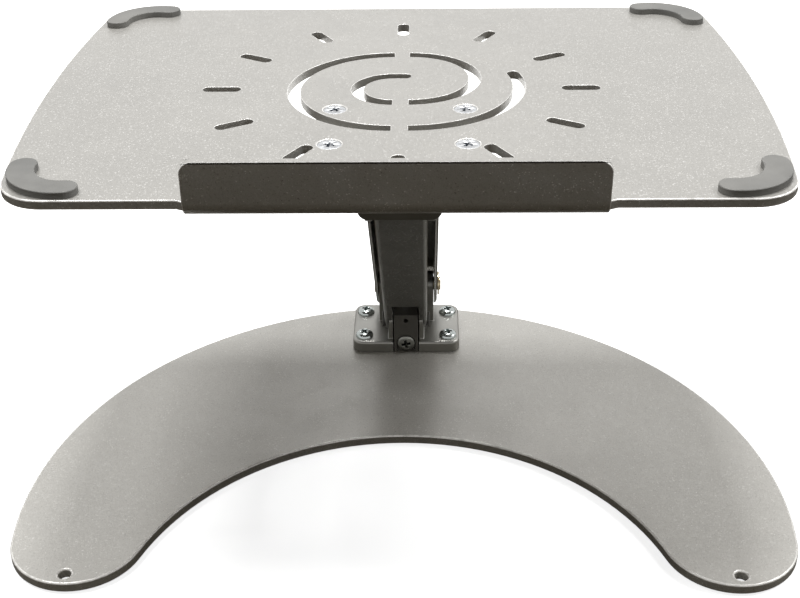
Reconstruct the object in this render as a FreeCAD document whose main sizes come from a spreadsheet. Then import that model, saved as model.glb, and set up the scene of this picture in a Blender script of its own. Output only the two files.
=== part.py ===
import FreeCAD, Part
import math
import os
import re

import Sketcher
from FreeCAD import Placement, Rotation, Vector

# Height-adjustable notebook stand: a crescent base plate, a parallelogram arm with a gas
# spring inside it, and a flat tray with a front lip, sun-shaped vents and rubber corners.
# Frame: +Z up, -Y towards the user, origin on the table under the middle of the stand.
# All sizes are millimetres and degrees.

SIZES = {
    # Base plate: a crescent, open towards the user, with a round lobe at each end
    "plate_thickness": 5.5,
    "plate_radius": 191.6,
    "plate_bay_drop": 52.23,
    "plate_lobe_radius": 32.7,
    "plate_lobe_angle": 8.26,
    "plate_setback": 74.45,
    "plate_hole_radius": 3.0,
    "plate_hole_outward": 0.75,
    "plate_hole_ahead": 25.97,
    "foot_height": 1.0,
    "foot_radius": 8.0,
    "foot_set_in": 31.6,
    # Base bracket: a casting with two ears, screwed on the plate
    "bracket_set_in": 7.8,
    "bracket_width": 63.4,
    "bracket_depth": 44.0,
    "bracket_height": 7.3,
    "bracket_corner": 6.0,
    "bracket_screw_gap_across": 50.0,
    "bracket_screw_gap_along": 26.4,
    "bracket_screw_inset": 7.7,
    "button_head_radius": 5.25,
    "button_head_height": 3.3,
    "bracket_screw_radius": 3.0,
    "hex_socket_width": 4.0,
    "hex_socket_depth": 2.0,
    "ear_slot_width": 15.0,
    "ear_wall": 3.0,
    "front_ear_radius": 7.0,
    "rear_boss_radius": 7.5,
    # Arm: two parallel links
    "arm_length": 178.3,
    "arm_lean": 40.6,
    "front_pivot_set_in": 10.8,
    "front_pivot_height": 16.8,
    "rear_pivot_behind": 20.6,
    "rear_pivot_above": 12.7,
    "front_pin_radius": 3.0,
    "rear_pin_radius": 4.0,
    "pin_fit": 0.05,
    "bush_wall": 1.2,
    "front_link_width": 25.2,
    "front_link_sheet": 1.8,
    "front_link_front": 5.0,
    "front_link_rear": 9.0,
    "front_link_foot": 6.3,
    "front_link_top": 8.5,
    "front_web_start": 12.6,
    "front_notch_width": 15.6,
    "front_notch_end": 38.0,
    "rear_link_width": 37.0,
    "rear_link_sheet": 1.8,
    "rear_link_front": 8.0,
    "rear_link_rear": 11.3,
    "rear_link_foot": 19.0,
    "rear_link_top": 8.5,
    "rear_web_reach": 9.5,
    "rear_web_end": 14.0,
    "side_clearance": 0.3,
    "washer_thickness": 1.0,
    "pin_head_height": 1.2,
    "pin_head_lip": 1.6,
    "thin_head_height": 0.4,
    "ring_thickness": 1.0,
    "ring_radius": 7.0,
    "pin_stub": 0.9,
    # Gas spring and its adjuster
    "spring_offset": 9.1,
    "spring_lift": 5.9,
    "spring_reach": 127.0,
    "spring_tube_radius": 7.5,
    "spring_tube_wall": 1.5,
    "spring_tube_length": 72.0,
    "spring_rod_radius": 3.0,
    "spring_eye_radius": 6.3,
    "spring_eye_width": 8.0,
    "spring_pin_radius": 3.0,
    "spring_eye_play": 1.7,
    "piston_length": 8.0,
    "gland_length": 6.0,
    "block_thickness": 6.6,
    "block_width": 14.0,
    "block_height": 25.7,
    "block_slope": 3.4,
    "peep_hole_radius": 1.3,
    "peep_hole_drop": 3.8,
    "adjuster_height": 6.2,
    "adjuster_radius": 3.0,
    "adjuster_head_radius": 5.3,
    "adjuster_head_length": 4.5,
    "carriage_depth": 12.0,
    # Head bracket under the tray
    "head_rise": 32.8,
    "head_flange_thickness": 4.0,
    "head_flange_width": 78.0,
    "head_flange_corner": 8.0,
    "head_ear_radius": 8.8,
    "head_apron_width": 38.6,
    "head_apron_thickness": 3.0,
    "head_apron_ahead": 11.5,
    "head_apron_drop": 2.2,
    "head_apron_corner": 5.0,
    # Tray: a bent sheet with a front lip
    "tray_sheet": 4.2,
    "tray_half_width": 170.0,
    "tray_side_radius": 900.0,
    "tray_back": 122.6,
    "tray_front": 120.0,
    "tray_widest": 9.0,
    "tray_corner": 21.0,
    "lip_width": 167.2,
    "lip_ahead": 9.0,
    "lip_height": 20.4,
    "lip_corner": 5.0,
    "lip_bend": 3.0,
    "lip_relief": 4.0,
    "tray_screw_gap_across": 60.2,
    "tray_screw_gap_along": 39.7,
    "tray_screws_ahead": 45.55,
    "tray_screw_radius": 3.0,
    "tray_screw_head_radius": 5.6,
    "tray_screw_length": 8.5,
    "sink_play": 0.1,
    "screws_behind_pivot": 1.75,
    # Vents in the tray: twelve rays around a spiral of four half rings
    "vent_width": 6.0,
    "ray_length": 18.4,
    "ray_circle_radius": 86.0,
    "vent_bridge": 7.7,
    "first_ring_radius": 17.0,
    "second_ring_radius": 32.05,
    "third_ring_radius": 47.3,
    "fourth_ring_radius": 53.0,
    "first_ring_bottom": 17.5,
    "third_ring_bottom": 48.0,
    "fourth_ring_rise": 16.0,
    # Rubber corner pads
    "pad_thickness": 3.0,
    "pad_rounding": 0.5,
    "pad_band": 11.7,
    "pad_bend_radius": 19.9,
    "pad_sweep": 104.0,
    "pad_edge_gap": 1.3,
    "pad_side_gap": 7.8,
    "rear_pad_swing": 9.0,
}

# Sizes that follow from others, each with a name of its own
FOLLOWS = {
    "plate_top": "foot_height + plate_thickness",
    "foot_circle_radius": "plate_radius - foot_set_in",
    "lobe_reach": "plate_radius - plate_lobe_radius",
    "lobe_x": "lobe_reach * cos(plate_lobe_angle)",
    "lobe_y": "-plate_setback - lobe_reach * sin(plate_lobe_angle)",
    "bay_y": "lobe_y - plate_bay_drop",
    "bay_reach": "sqrt(lobe_x ^ 2 + plate_bay_drop ^ 2)",
    "plate_bay_radius": "bay_reach - plate_lobe_radius",
    "plate_hole_x": "lobe_x + plate_hole_outward",
    "plate_hole_y": "lobe_y - plate_hole_ahead",
    "bracket_top": "plate_top + bracket_height",
    "bracket_y_rear": "plate_radius - plate_setback - bracket_set_in",
    "bracket_y_front": "bracket_y_rear - bracket_depth",
    "ear_half_outer": "ear_slot_width / 2 + ear_wall",
    "front_pivot_y": "bracket_y_front + front_pivot_set_in",
    "front_pivot_z": "plate_top + front_pivot_height",
    "rear_pivot_y": "front_pivot_y + rear_pivot_behind",
    "rear_pivot_z": "front_pivot_z + rear_pivot_above",
    "head_front_y": "front_pivot_y - arm_length * sin(arm_lean)",
    "head_front_z": "front_pivot_z + arm_length * cos(arm_lean)",
    "head_rear_y": "head_front_y + rear_pivot_behind",
    "head_rear_z": "head_front_z + rear_pivot_above",
    "front_inner_half": "front_link_width / 2 - front_link_sheet",
    "rear_inner_half": "rear_link_width / 2 - rear_link_sheet",
    "boss_half": "rear_inner_half - side_clearance",
    "tray_under": "head_front_z + head_rise",
    "flange_under": "tray_under - head_flange_thickness",
    "head_ear_inner": "front_link_width / 2 + side_clearance",
    "head_ear_outer": "rear_inner_half - side_clearance",
    "apron_y_inner": "head_front_y - head_apron_ahead",
    "apron_z_low": "head_front_z - head_apron_drop",
    "screws_y": "head_front_y + screws_behind_pivot",
    "sun_y": "screws_y + tray_screws_ahead",
    "tray_top": "tray_under + tray_sheet",
    "tray_y_back": "sun_y + tray_back",
    "tray_y_front": "sun_y - tray_front",
    "lip_y": "tray_y_front - lip_ahead",
    "lip_outer_bend": "lip_bend + tray_sheet",
    "side_circle_x": "tray_half_width - tray_side_radius",
    "side_circle_y": "sun_y + tray_widest",
    "anchor_y": "rear_pivot_y - spring_offset * cos(arm_lean) - spring_lift * sin(arm_lean)",
    "anchor_z": "rear_pivot_z - spring_offset * sin(arm_lean) + spring_lift * cos(arm_lean)",
    "spring_length": "sqrt(spring_offset ^ 2 + (spring_reach - spring_lift) ^ 2)",
    "tube_low": "spring_length - spring_eye_radius - 2 - spring_tube_length",
    "adjuster_z": "plate_top + adjuster_height",
    "carriage_y": "anchor_y - carriage_depth / 2",
    "top_round": "front_link_front * 0.9",
}

doc = FreeCAD.newDocument("notebook_stand")
sheet = doc.addObject("Spreadsheet::Sheet", "Sizes")
for row, (alias, size) in enumerate(SIZES.items(), start=1):
    sheet.set("A%d" % row, alias)
    sheet.set("B%d" % row, str(size))
    sheet.setAlias("B%d" % row, alias)
doc.recompute()


def bound(expression):
    """The expression with every named size written as a reference to the sheet."""
    def reference(match):
        word = match.group()
        if word in FOLLOWS:
            return "(" + bound(FOLLOWS[word]) + ")"
        return "Sizes." + word if word in SIZES else word
    return re.sub(r"[a-z]+(?:_[a-z]+)*", reference, str(expression))


def value(expression):
    """The number that an expression over the named sizes stands for."""
    return float(sheet.evalExpression(bound(expression)))


def bind(target, **properties):
    """Binds properties of an object to expressions over the sheet."""
    for name, expression in properties.items():
        target.setExpression(name, bound(expression))
    return target


def place(target, x=0, y=0, z=0, axis=None, angle=0):
    """Binds an object's place, and its turn about an axis."""
    if axis is not None:
        target.Placement = Placement(Vector(), Rotation(Vector(*axis), 1))
        target.setExpression("Placement.Rotation.Angle", bound(angle))
    for letter, expression in zip("xyz", (x, y, z)):
        target.setExpression("Placement.Base." + letter, bound(expression))
    return target


# ---------------------------------------------------------------- Part primitives
def box(name, x, y, z):
    """A box between pairs of expressions, as low and high along each axis."""
    solid = doc.addObject("Part::Box", name)
    spans = [("(%s) - (%s)" % (high, low)) for low, high in (x, y, z)]
    bind(solid, Length=spans[0], Width=spans[1], Height=spans[2])
    return place(solid, x[0], y[0], z[0])


def cylinder(name, radius, height, x=0, y=0, z=0, axis=None, angle=0, sweep=None):
    """A cylinder along +Z of its own frame, turned about an axis when one is given."""
    solid = doc.addObject("Part::Cylinder", name)
    bind(solid, Radius=radius, Height=height)
    if sweep is not None:
        bind(solid, Angle=sweep)
    return place(solid, x, y, z, axis, angle)


def cross_pin(name, radius, low, high, y, z):
    """A cylinder along X from low to high."""
    return cylinder(name, radius, "(%s) - (%s)" % (high, low), low, y, z, (0, 1, 0), 90)


def cone(name, low_radius, high_radius, height, x, y, z):
    """A cone that stands on z."""
    solid = doc.addObject("Part::Cone", name)
    bind(solid, Radius1=low_radius, Radius2=high_radius, Height=height)
    return place(solid, x, y, z)


def hex_prism(name, width_across_flats, height, x, y, z, axis=None, angle=0):
    """A hexagonal prism, given its width across flats."""
    solid = doc.addObject("Part::Prism", name)
    solid.Polygon = 6
    bind(solid, Circumradius="(%s) / sqrt(3)" % width_across_flats, Height=height)
    return place(solid, x, y, z, axis, angle)


def fused(name, *shapes):
    """One solid made of several."""
    union = doc.addObject("Part::MultiFuse", name)
    union.Shapes = list(shapes)
    union.Refine = True
    return union


def cut(name, base, *tools):
    """The base less all the tools."""
    result = doc.addObject("Part::Cut", name)
    result.Base = base
    result.Tool = tools[0] if len(tools) == 1 else fused(name + "_tools", *tools)
    result.Refine = True
    return result


def group(name, *shapes):
    """Separate equal solids that share one node."""
    bundle = doc.addObject("Part::Compound", name)
    bundle.Links = list(shapes)
    return bundle


# ---------------------------------------------------------------- Bodies and sketches
def new_body(name):
    """An empty body."""
    return doc.addObject("PartDesign::Body", name)


def new_sketch(body, name, plane):
    """A sketch on one of the body's own origin planes."""
    sketch = body.newObject("Sketcher::SketchObject", name)
    origin_plane = [f for f in body.Origin.OriginFeatures if f.Role == plane][0]
    sketch.AttachmentSupport = [(origin_plane, "")]
    sketch.MapMode = "FlatFace"
    return sketch


def pin_point(sketch, geometry, point, x, y):
    """Holds a point of a sketch at two bound coordinates."""
    for kind, expression in (("DistanceX", x), ("DistanceY", y)):
        index = sketch.addConstraint(
            Sketcher.Constraint(kind, geometry, point, value(expression)))
        sketch.setExpression("Constraints[%d]" % index, bound(expression))


def start_point(corner):
    """The sketcher's number, 1 or 2, for the end of a side that its corner names."""
    return 2 if len(corner) == 4 and corner[3] < 0 else 1


def outline(sketch, corners):
    """Adds a closed outline.

    Each corner is (x, y) or (x, y, radius, side): with a radius, an arc leads to the next
    corner, and side is +1 when the arc's centre lies to the left of the way there.
    """
    first = sketch.GeometryCount
    count = len(corners)
    places = [Vector(value(c[0]), value(c[1]), 0) for c in corners]
    for index, corner in enumerate(corners):
        start, end = places[index], places[(index + 1) % count]
        if len(corner) == 2:
            sketch.addGeometry(Part.LineSegment(start, end))
            continue
        radius, side = value(corner[2]), corner[3]
        half = (end - start) * 0.5
        left = Vector(-half.y, half.x, 0).normalize() * side
        rise = math.sqrt(max(radius ** 2 - half.Length ** 2, 0))
        centre = start + half + left * rise
        middle = centre - left * radius
        sketch.addGeometry(Part.Arc(start, middle, end))
    for index, corner in enumerate(corners):
        here, after = first + index, first + (index + 1) % count
        follower = corners[(index + 1) % count]
        sketch.addConstraint(Sketcher.Constraint(
            "Coincident", here, 3 - start_point(corner), after, start_point(follower)))
        pin_point(sketch, here, start_point(corner), corner[0], corner[1])
        if len(corner) == 4:
            radius_index = sketch.addConstraint(
                Sketcher.Constraint("Radius", here, value(corner[2])))
            sketch.setExpression("Constraints[%d]" % radius_index, bound(corner[2]))


def circle(sketch, x, y, radius):
    """Adds a circle at bound coordinates."""
    geometry = sketch.addGeometry(
        Part.Circle(Vector(value(x), value(y), 0), Vector(0, 0, 1), value(radius)))
    pin_point(sketch, geometry, 3, x, y)
    index = sketch.addConstraint(Sketcher.Constraint("Radius", geometry, value(radius)))
    sketch.setExpression("Constraints[%d]" % index, bound(radius))


def rounded(x, y, low_radius, high_radius=None):
    """Corners of a rectangle, rounded below by one radius and above by another."""
    (left, right), (low, high) = x, y
    r = "(%s)" % low_radius
    q = "(%s)" % (low_radius if high_radius is None else high_radius)
    return [
        ("%s + %s" % (left, r), low),
        ("%s - %s" % (right, r), low, r, 1),
        (right, "%s + %s" % (low, r)),
        (right, "%s - %s" % (high, q), q, 1),
        ("%s - %s" % (right, q), high),
        ("%s + %s" % (left, q), high, q, 1),
        (left, "%s - %s" % (high, q)),
        (left, "%s + %s" % (low, r), r, 1),
    ]


def pad(body, sketch, length, offset=None, midplane=False):
    """Raises a sketch into a solid, from a bound offset or about its plane."""
    if offset is not None:
        sketch.setExpression("AttachmentOffset.Base.z", bound(offset))
    feature = body.newObject("PartDesign::Pad", sketch.Name + "_pad")
    feature.Profile = sketch
    feature.SideType = "Symmetric" if midplane else "One side"
    bind(feature, Length=length)
    doc.recompute()
    return feature


def pocket(body, sketch, length=None, offset=None):
    """Cuts a sketch through the body, both ways when no length is given."""
    if offset is not None:
        sketch.setExpression("AttachmentOffset.Base.z", bound(offset))
    before = body.Shape.Volume
    feature = body.newObject("PartDesign::Pocket", sketch.Name + "_pocket")
    feature.Profile = sketch
    if length is None:
        feature.SideType = "Two sides"
        feature.Type = "ThroughAll"
        feature.Type2 = "ThroughAll"
    else:
        bind(feature, Length=length)
    doc.recompute()
    if body.Shape.Volume >= before - 1e-3:
        raise RuntimeError(sketch.Name + " cuts nothing")
    return feature


def fillet(body, radius, test):
    """Rounds the body's edges that pass a test."""
    base = body.Tip
    names = ["Edge%d" % (i + 1) for i, edge in enumerate(base.Shape.Edges) if test(edge)]
    if not names:
        raise RuntimeError(body.Name + " has no edge to round")
    feature = body.newObject("PartDesign::Fillet", body.Name + "_fillet%d" % len(body.Group))
    feature.Base = (base, names)
    bind(feature, Radius=radius)
    doc.recompute()
    if "Invalid" in feature.State:
        raise RuntimeError(feature.Name + " rounds nothing")
    return feature


def runs_along(edge, axis):
    """Whether an edge is straight and parallel to an axis."""
    if not isinstance(edge.Curve, Part.Line):
        return False
    return abs(abs(edge.tangentAt(edge.FirstParameter).dot(Vector(*axis))) - 1) < 1e-6


def lies_at_height(edge, height):
    """Whether a whole edge lies in the level plane at a height."""
    level = value(height)
    ends = [vertex.Z for vertex in edge.Vertexes] + [edge.CenterOfMass.z]
    return all(abs(z - level) < 1e-4 for z in ends)


# ---------------------------------------------------------------- Base plate
def crescent_outline():
    """The plate's outline: outer arc, a lobe, the bay, the other lobe."""
    tangent_x = "plate_radius * cos(plate_lobe_angle)"
    tangent_y = "-plate_setback - plate_radius * sin(plate_lobe_angle)"
    bay_x = "lobe_x * plate_bay_radius / bay_reach"
    bay_edge_y = "bay_y + (lobe_y - bay_y) * plate_bay_radius / bay_reach"
    return [
        (0, "plate_radius - plate_setback", "plate_radius", 1),
        ("-" + tangent_x, tangent_y, "plate_lobe_radius", 1),
        ("-" + bay_x, bay_edge_y, "plate_bay_radius", -1),
        (bay_x, bay_edge_y, "plate_lobe_radius", 1),
        (tangent_x, tangent_y, "plate_radius", 1),
    ]


plate = new_body("base_plate")
plate_sketch = new_sketch(plate, "plate_outline", "XY_Plane")
outline(plate_sketch, crescent_outline())
for side in (-1, 1):
    circle(plate_sketch, "%d * plate_hole_x" % side, "plate_hole_y", "plate_hole_radius")
for side in (-1, 1):
    for along in (0, 1):
        circle(plate_sketch, "%d * bracket_screw_gap_across / 2" % side,
               "bracket_y_front + bracket_screw_inset + %d * bracket_screw_gap_along" % along,
               "bracket_screw_radius")
pad(plate, plate_sketch, "plate_thickness", "foot_height")

FOOT_ANGLES = (-6, 42, 90, 138, 186)
feet = group("base_feet", *[
    cylinder("foot_%d" % number, "foot_radius", "foot_height",
             "foot_circle_radius * cos(%d)" % angle,
             "foot_circle_radius * sin(%d) - plate_setback" % angle, 0)
    for number, angle in enumerate(FOOT_ANGLES)])

# ---------------------------------------------------------------- Base bracket
bracket = new_body("base_bracket")
flange_sketch = new_sketch(bracket, "bracket_outline", "XY_Plane")
outline(flange_sketch, rounded(("-bracket_width / 2", "bracket_width / 2"),
                               ("bracket_y_front", "bracket_y_rear"), "bracket_corner"))
pad(bracket, flange_sketch, "bracket_height", "plate_top")
fillet(bracket, "bracket_height / 4", lambda e: lies_at_height(e, "bracket_top"))

ear_sketch = new_sketch(bracket, "ear_profile", "YZ_Plane")
outline(ear_sketch, [
    ("front_pivot_y - front_ear_radius", "plate_top + 1"),
    ("rear_pivot_y + rear_boss_radius", "plate_top + 1"),
    ("rear_pivot_y + rear_boss_radius", "rear_pivot_z", "rear_boss_radius", 1),
    ("rear_pivot_y", "rear_pivot_z + rear_boss_radius", "rear_boss_radius", 1),
    ("rear_pivot_y - rear_boss_radius", "rear_pivot_z"),
    ("front_pivot_y + front_ear_radius", "front_pivot_z", "front_ear_radius", 1),
    ("front_pivot_y", "front_pivot_z + front_ear_radius", "front_ear_radius", 1),
    ("front_pivot_y - front_ear_radius", "front_pivot_z"),
])
pad(bracket, ear_sketch, "2 * ear_half_outer", midplane=True)
boss_sketch = new_sketch(bracket, "boss_profile", "YZ_Plane")
outline(boss_sketch, [
    ("rear_pivot_y - rear_boss_radius", "plate_top + 1"),
    ("rear_pivot_y + rear_boss_radius", "plate_top + 1"),
    ("rear_pivot_y + rear_boss_radius", "rear_pivot_z", "rear_boss_radius", 1),
    ("rear_pivot_y", "rear_pivot_z + rear_boss_radius", "rear_boss_radius", 1),
    ("rear_pivot_y - rear_boss_radius", "rear_pivot_z"),
])
pad(bracket, boss_sketch, "2 * boss_half", midplane=True)
slot_sketch = new_sketch(bracket, "ear_slot", "XY_Plane")
outline(slot_sketch, [
    ("-ear_slot_width / 2", "bracket_y_front - 1"),
    ("ear_slot_width / 2", "bracket_y_front - 1"),
    ("ear_slot_width / 2", "rear_pivot_y + rear_boss_radius - ear_wall"),
    ("-ear_slot_width / 2", "rear_pivot_y + rear_boss_radius - ear_wall"),
])
pocket(bracket, slot_sketch)
pivot_sketch = new_sketch(bracket, "pivot_holes", "YZ_Plane")
circle(pivot_sketch, "front_pivot_y", "front_pivot_z", "front_pin_radius")
circle(pivot_sketch, "rear_pivot_y", "rear_pivot_z", "rear_pin_radius")
pocket(bracket, pivot_sketch)
bolt_sketch = new_sketch(bracket, "bolt_holes", "XY_Plane")
for side in (-1, 1):
    for along in (0, 1):
        circle(bolt_sketch, "%d * bracket_screw_gap_across / 2" % side,
               "bracket_y_front + bracket_screw_inset + %d * bracket_screw_gap_along" % along,
               "bracket_screw_radius + 0.3")
pocket(bracket, bolt_sketch)


def button_screw(name, x, y):
    """A hexagon-socket button-head screw through the bracket into the plate."""
    cap_radius = "((button_head_radius ^ 2 + button_head_height ^ 2) / (2 * button_head_height))"
    ball = doc.addObject("Part::Sphere", name + "_ball")
    bind(ball, Radius=cap_radius)
    place(ball, x, y, "bracket_top + button_head_height - " + cap_radius)
    block = cylinder(name + "_rim", "button_head_radius", "button_head_height", x, y, "bracket_top")
    dome = doc.addObject("Part::Common", name + "_dome")
    dome.Base, dome.Tool = ball, block
    shank = cylinder(name + "_shank", "bracket_screw_radius", "bracket_top - foot_height",
                     x, y, "foot_height")
    socket = hex_prism(name + "_socket", "hex_socket_width", "hex_socket_depth + 1", x, y,
                       "bracket_top + button_head_height - hex_socket_depth")
    return cut(name, fused(name + "_solid", dome, shank), socket)


bracket_screws = group("bracket_screws", *[
    button_screw("bracket_screw_%d%d" % (side > 0, along), "%d * bracket_screw_gap_across / 2" % side,
                 "bracket_y_front + bracket_screw_inset + %d * bracket_screw_gap_along" % along)
    for side in (-1, 1) for along in (0, 1)])


# ---------------------------------------------------------------- Links
def channel_link(name, width, sheet_wall, front, rear, foot, top, pin_radius, web_low, web_high):
    """A pressed channel: its own frame has the low pivot at 0 and runs up along +Z."""
    body = new_body(name)
    side_sketch = new_sketch(body, name + "_side", "YZ_Plane")
    outline(side_sketch, rounded(("-" + front, rear), ("-" + foot, "arm_length + " + top),
                                 front + " * 0.7", "top_round"))
    pad(body, side_sketch, width, midplane=True)
    fillet(body, sheet_wall + " * 1.4", lambda e: runs_along(e, (0, 0, 1)) and on_web(e, name))
    inside = new_sketch(body, name + "_inside", "XY_Plane")
    half = "(%s / 2 - %s)" % (width, sheet_wall)
    low, high = ("-%s + %s" % (front, sheet_wall), rear + " + 1")
    if name == "rear_link":
        low, high = ("-%s - 1" % front, "%s - %s" % (rear, sheet_wall))
    outline(inside, [("-" + half, low), (half, low), (half, high), ("-" + half, high)])
    pocket(body, inside)
    window = new_sketch(body, name + "_web_ends", "XZ_Plane")
    for z_low, z_high in ((" - %s - 1" % foot, web_low), (web_high, "arm_length + %s + 1" % top)):
        outline(window, [("-" + half, z_low), (half, z_low), (half, z_high), ("-" + half, z_high)])
    pocket(body, window)
    holes = new_sketch(body, name + "_holes", "YZ_Plane")
    for z in ("0", "arm_length"):
        circle(holes, 0, z, pin_radius + " + bush_wall")
    pocket(body, holes)
    return body


def on_web(edge, name):
    """Whether a long edge of a link lies on the side that carries its web."""
    y = edge.CenterOfMass.y
    if name == "rear_link":
        return abs(y - value("rear_link_rear")) < 1e-4
    return abs(y + value("front_link_front")) < 1e-4


front_link = channel_link("front_link", "front_link_width", "front_link_sheet", "front_link_front",
                          "front_link_rear", "front_link_foot", "front_link_top",
                          "front_pin_radius", "front_web_start", "arm_length - 6")
notch = new_sketch(front_link, "front_notch", "XZ_Plane")
outline(notch, [("-front_notch_width / 2", "front_web_start - 1"),
                ("front_notch_width / 2", "front_web_start - 1"),
                ("front_notch_width / 2", "front_notch_end"),
                ("-front_notch_width / 2", "front_notch_end")])
pocket(front_link, notch)
place(front_link, 0, "front_pivot_y", "front_pivot_z", (1, 0, 0), "arm_lean")

rear_link = channel_link("rear_link", "rear_link_width", "rear_link_sheet", "rear_link_front",
                         "rear_link_rear", "rear_link_foot", "rear_link_top",
                         "rear_pin_radius", "-rear_web_reach", "arm_length - rear_web_end")
spring_hole = new_sketch(rear_link, "spring_pin_hole", "YZ_Plane")
circle(spring_hole, 0, "spring_reach", "spring_pin_radius")
pocket(rear_link, spring_hole)
place(rear_link, 0, "rear_pivot_y", "rear_pivot_z", (1, 0, 0), "arm_lean")


def bush(name, pin_radius, inner_half, wall, side, y, z):
    """A nylon bush that fills a link's flange around its pin."""
    low = "%s" % inner_half if side > 0 else "-%s - %s" % (inner_half, wall)
    ring = cross_pin(name + "_ring", pin_radius + " + bush_wall", low, low + " + " + wall, y, z)
    bore = cross_pin(name + "_bore", pin_radius + " + pin_fit", low + " - 1", low + " + 1 + " + wall,
                     y, z)
    return cut(name, ring, bore)


front_bushes = group("front_link_bushes", *[
    bush("front_bush_%d%d" % (side > 0, end), "front_pin_radius", "front_inner_half",
         "front_link_sheet", side, *place_yz)
    for side in (-1, 1)
    for end, place_yz in enumerate([("front_pivot_y", "front_pivot_z"),
                                    ("head_front_y", "head_front_z")])])
rear_bushes = group("rear_link_bushes", *[
    bush("rear_bush_%d%d" % (side > 0, end), "rear_pin_radius", "rear_inner_half",
         "rear_link_sheet", side, *place_yz)
    for side in (-1, 1)
    for end, place_yz in enumerate([("rear_pivot_y", "rear_pivot_z"),
                                    ("head_rear_y", "head_rear_z")])])


# ---------------------------------------------------------------- Pins and rings
def riveted_pin(name, radius, half_span, y, z):
    """A pin with a low head at each end, just clear of what it holds."""
    low, high = "-%s - side_clearance" % half_span, "%s + side_clearance" % half_span
    shank = cross_pin(name + "_shank", radius, low, high, y, z)
    left = cross_pin(name + "_left", radius + " + pin_head_lip", low + " - pin_head_height", low, y, z)
    right = cross_pin(name + "_right", radius + " + pin_head_lip", high,
                      high + " + pin_head_height", y, z)
    return fused(name, shank, left, right)


def ringed_pin(name, radius, half_span, y, z):
    """A pin with a thin head on the left and a grooved stub for a ring on the right."""
    low, high = "-%s - side_clearance / 3" % half_span, "%s + side_clearance" % half_span
    head = cross_pin(name + "_head", radius + " + pin_head_lip", low + " - thin_head_height", low, y, z)
    end = high + " + ring_thickness + pin_stub"
    shank = cross_pin(name + "_shank", radius, low, end, y, z)
    groove = cut(name + "_groove",
                 cross_pin(name + "_groove_out", radius + " + 1", high, high + " + ring_thickness", y, z),
                 cross_pin(name + "_groove_in", radius + " - 0.8", high, high + " + ring_thickness", y, z))
    return cut(name, fused(name + "_solid", head, shank), groove)


def retaining_ring(name, radius, half_span, y, z):
    """An open ring that snaps into a pin's groove from below."""
    low = "%s + side_clearance" % half_span
    high = low + " + ring_thickness"
    disc = cross_pin(name + "_disc", "ring_radius", low, high, y, z)
    bore = cross_pin(name + "_bore", radius + " - 0.8", low + " - 1", high + " + 1", y, z)
    mouth = box(name + "_mouth", (low + " - 1", high + " + 1"),
                (y + " - (%s) * 0.6" % radius, y + " + (%s) * 0.6" % radius),
                (z + " - ring_radius - 1", z))
    notches = [cross_pin(name + "_notch_%d" % (side > 0), "ring_radius * 0.22", low + " - 1", high + " + 1",
                         y + " + %d * ring_radius * 0.8" % side, z + " - ring_radius * 0.35")
               for side in (-1, 1)]
    return cut(name, disc, bore, mouth, *notches)


front_lower_pin = riveted_pin("front_lower_pin", "front_pin_radius", "front_link_width / 2",
                              "front_pivot_y", "front_pivot_z")
rear_lower_pin = ringed_pin("rear_lower_pin", "rear_pin_radius", "rear_link_width / 2",
                            "rear_pivot_y", "rear_pivot_z")
rear_lower_ring = retaining_ring("rear_lower_ring", "rear_pin_radius", "rear_link_width / 2",
                                 "rear_pivot_y", "rear_pivot_z")
front_upper_pin = riveted_pin("front_upper_pin", "front_pin_radius", "head_ear_outer - side_clearance",
                              "head_front_y", "head_front_z")
rear_upper_pin = ringed_pin("rear_upper_pin", "rear_pin_radius", "rear_link_width / 2",
                            "head_rear_y", "head_rear_z")
rear_upper_ring = retaining_ring("rear_upper_ring", "rear_pin_radius", "rear_link_width / 2",
                                 "head_rear_y", "head_rear_z")

SPRING_TOP_Y = "rear_pivot_y - spring_reach * sin(arm_lean)"
SPRING_TOP_Z = "rear_pivot_z + spring_reach * cos(arm_lean)"
spring_pin = cross_pin("spring_upper_pin", "spring_pin_radius", "-rear_link_width / 2",
                       "rear_link_width / 2", SPRING_TOP_Y, SPRING_TOP_Z)
spacers = group("spring_spacers", *[
    cut("spring_spacer_%d" % (side > 0),
        cross_pin("spacer_out_%d" % (side > 0), "spring_pin_radius + 2",
                  "spring_eye_width / 2 + side_clearance" if side > 0 else "-rear_inner_half",
                  "rear_inner_half" if side > 0 else "-spring_eye_width / 2 - side_clearance",
                  SPRING_TOP_Y, SPRING_TOP_Z),
        cross_pin("spacer_in_%d" % (side > 0), "spring_pin_radius",
                  "-rear_link_width", "rear_link_width", SPRING_TOP_Y, SPRING_TOP_Z))
    for side in (-1, 1)])

# ---------------------------------------------------------------- Gas spring
# Its own frame has the anchor at 0 and runs up along +Z to the spring's upper pin.
SPRING_LEAN = "arm_lean * 1 deg - atan(spring_offset / (spring_reach - spring_lift))"


def in_spring_frame(solid, along="0"):
    """Leans a solid of the spring from its anchor, or from a point further along it."""
    return place(solid, 0, "anchor_y - (%s) * sin(%s)" % (along, SPRING_LEAN),
                 "anchor_z + (%s) * cos(%s)" % (along, SPRING_LEAN), (1, 0, 0), SPRING_LEAN)


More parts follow.
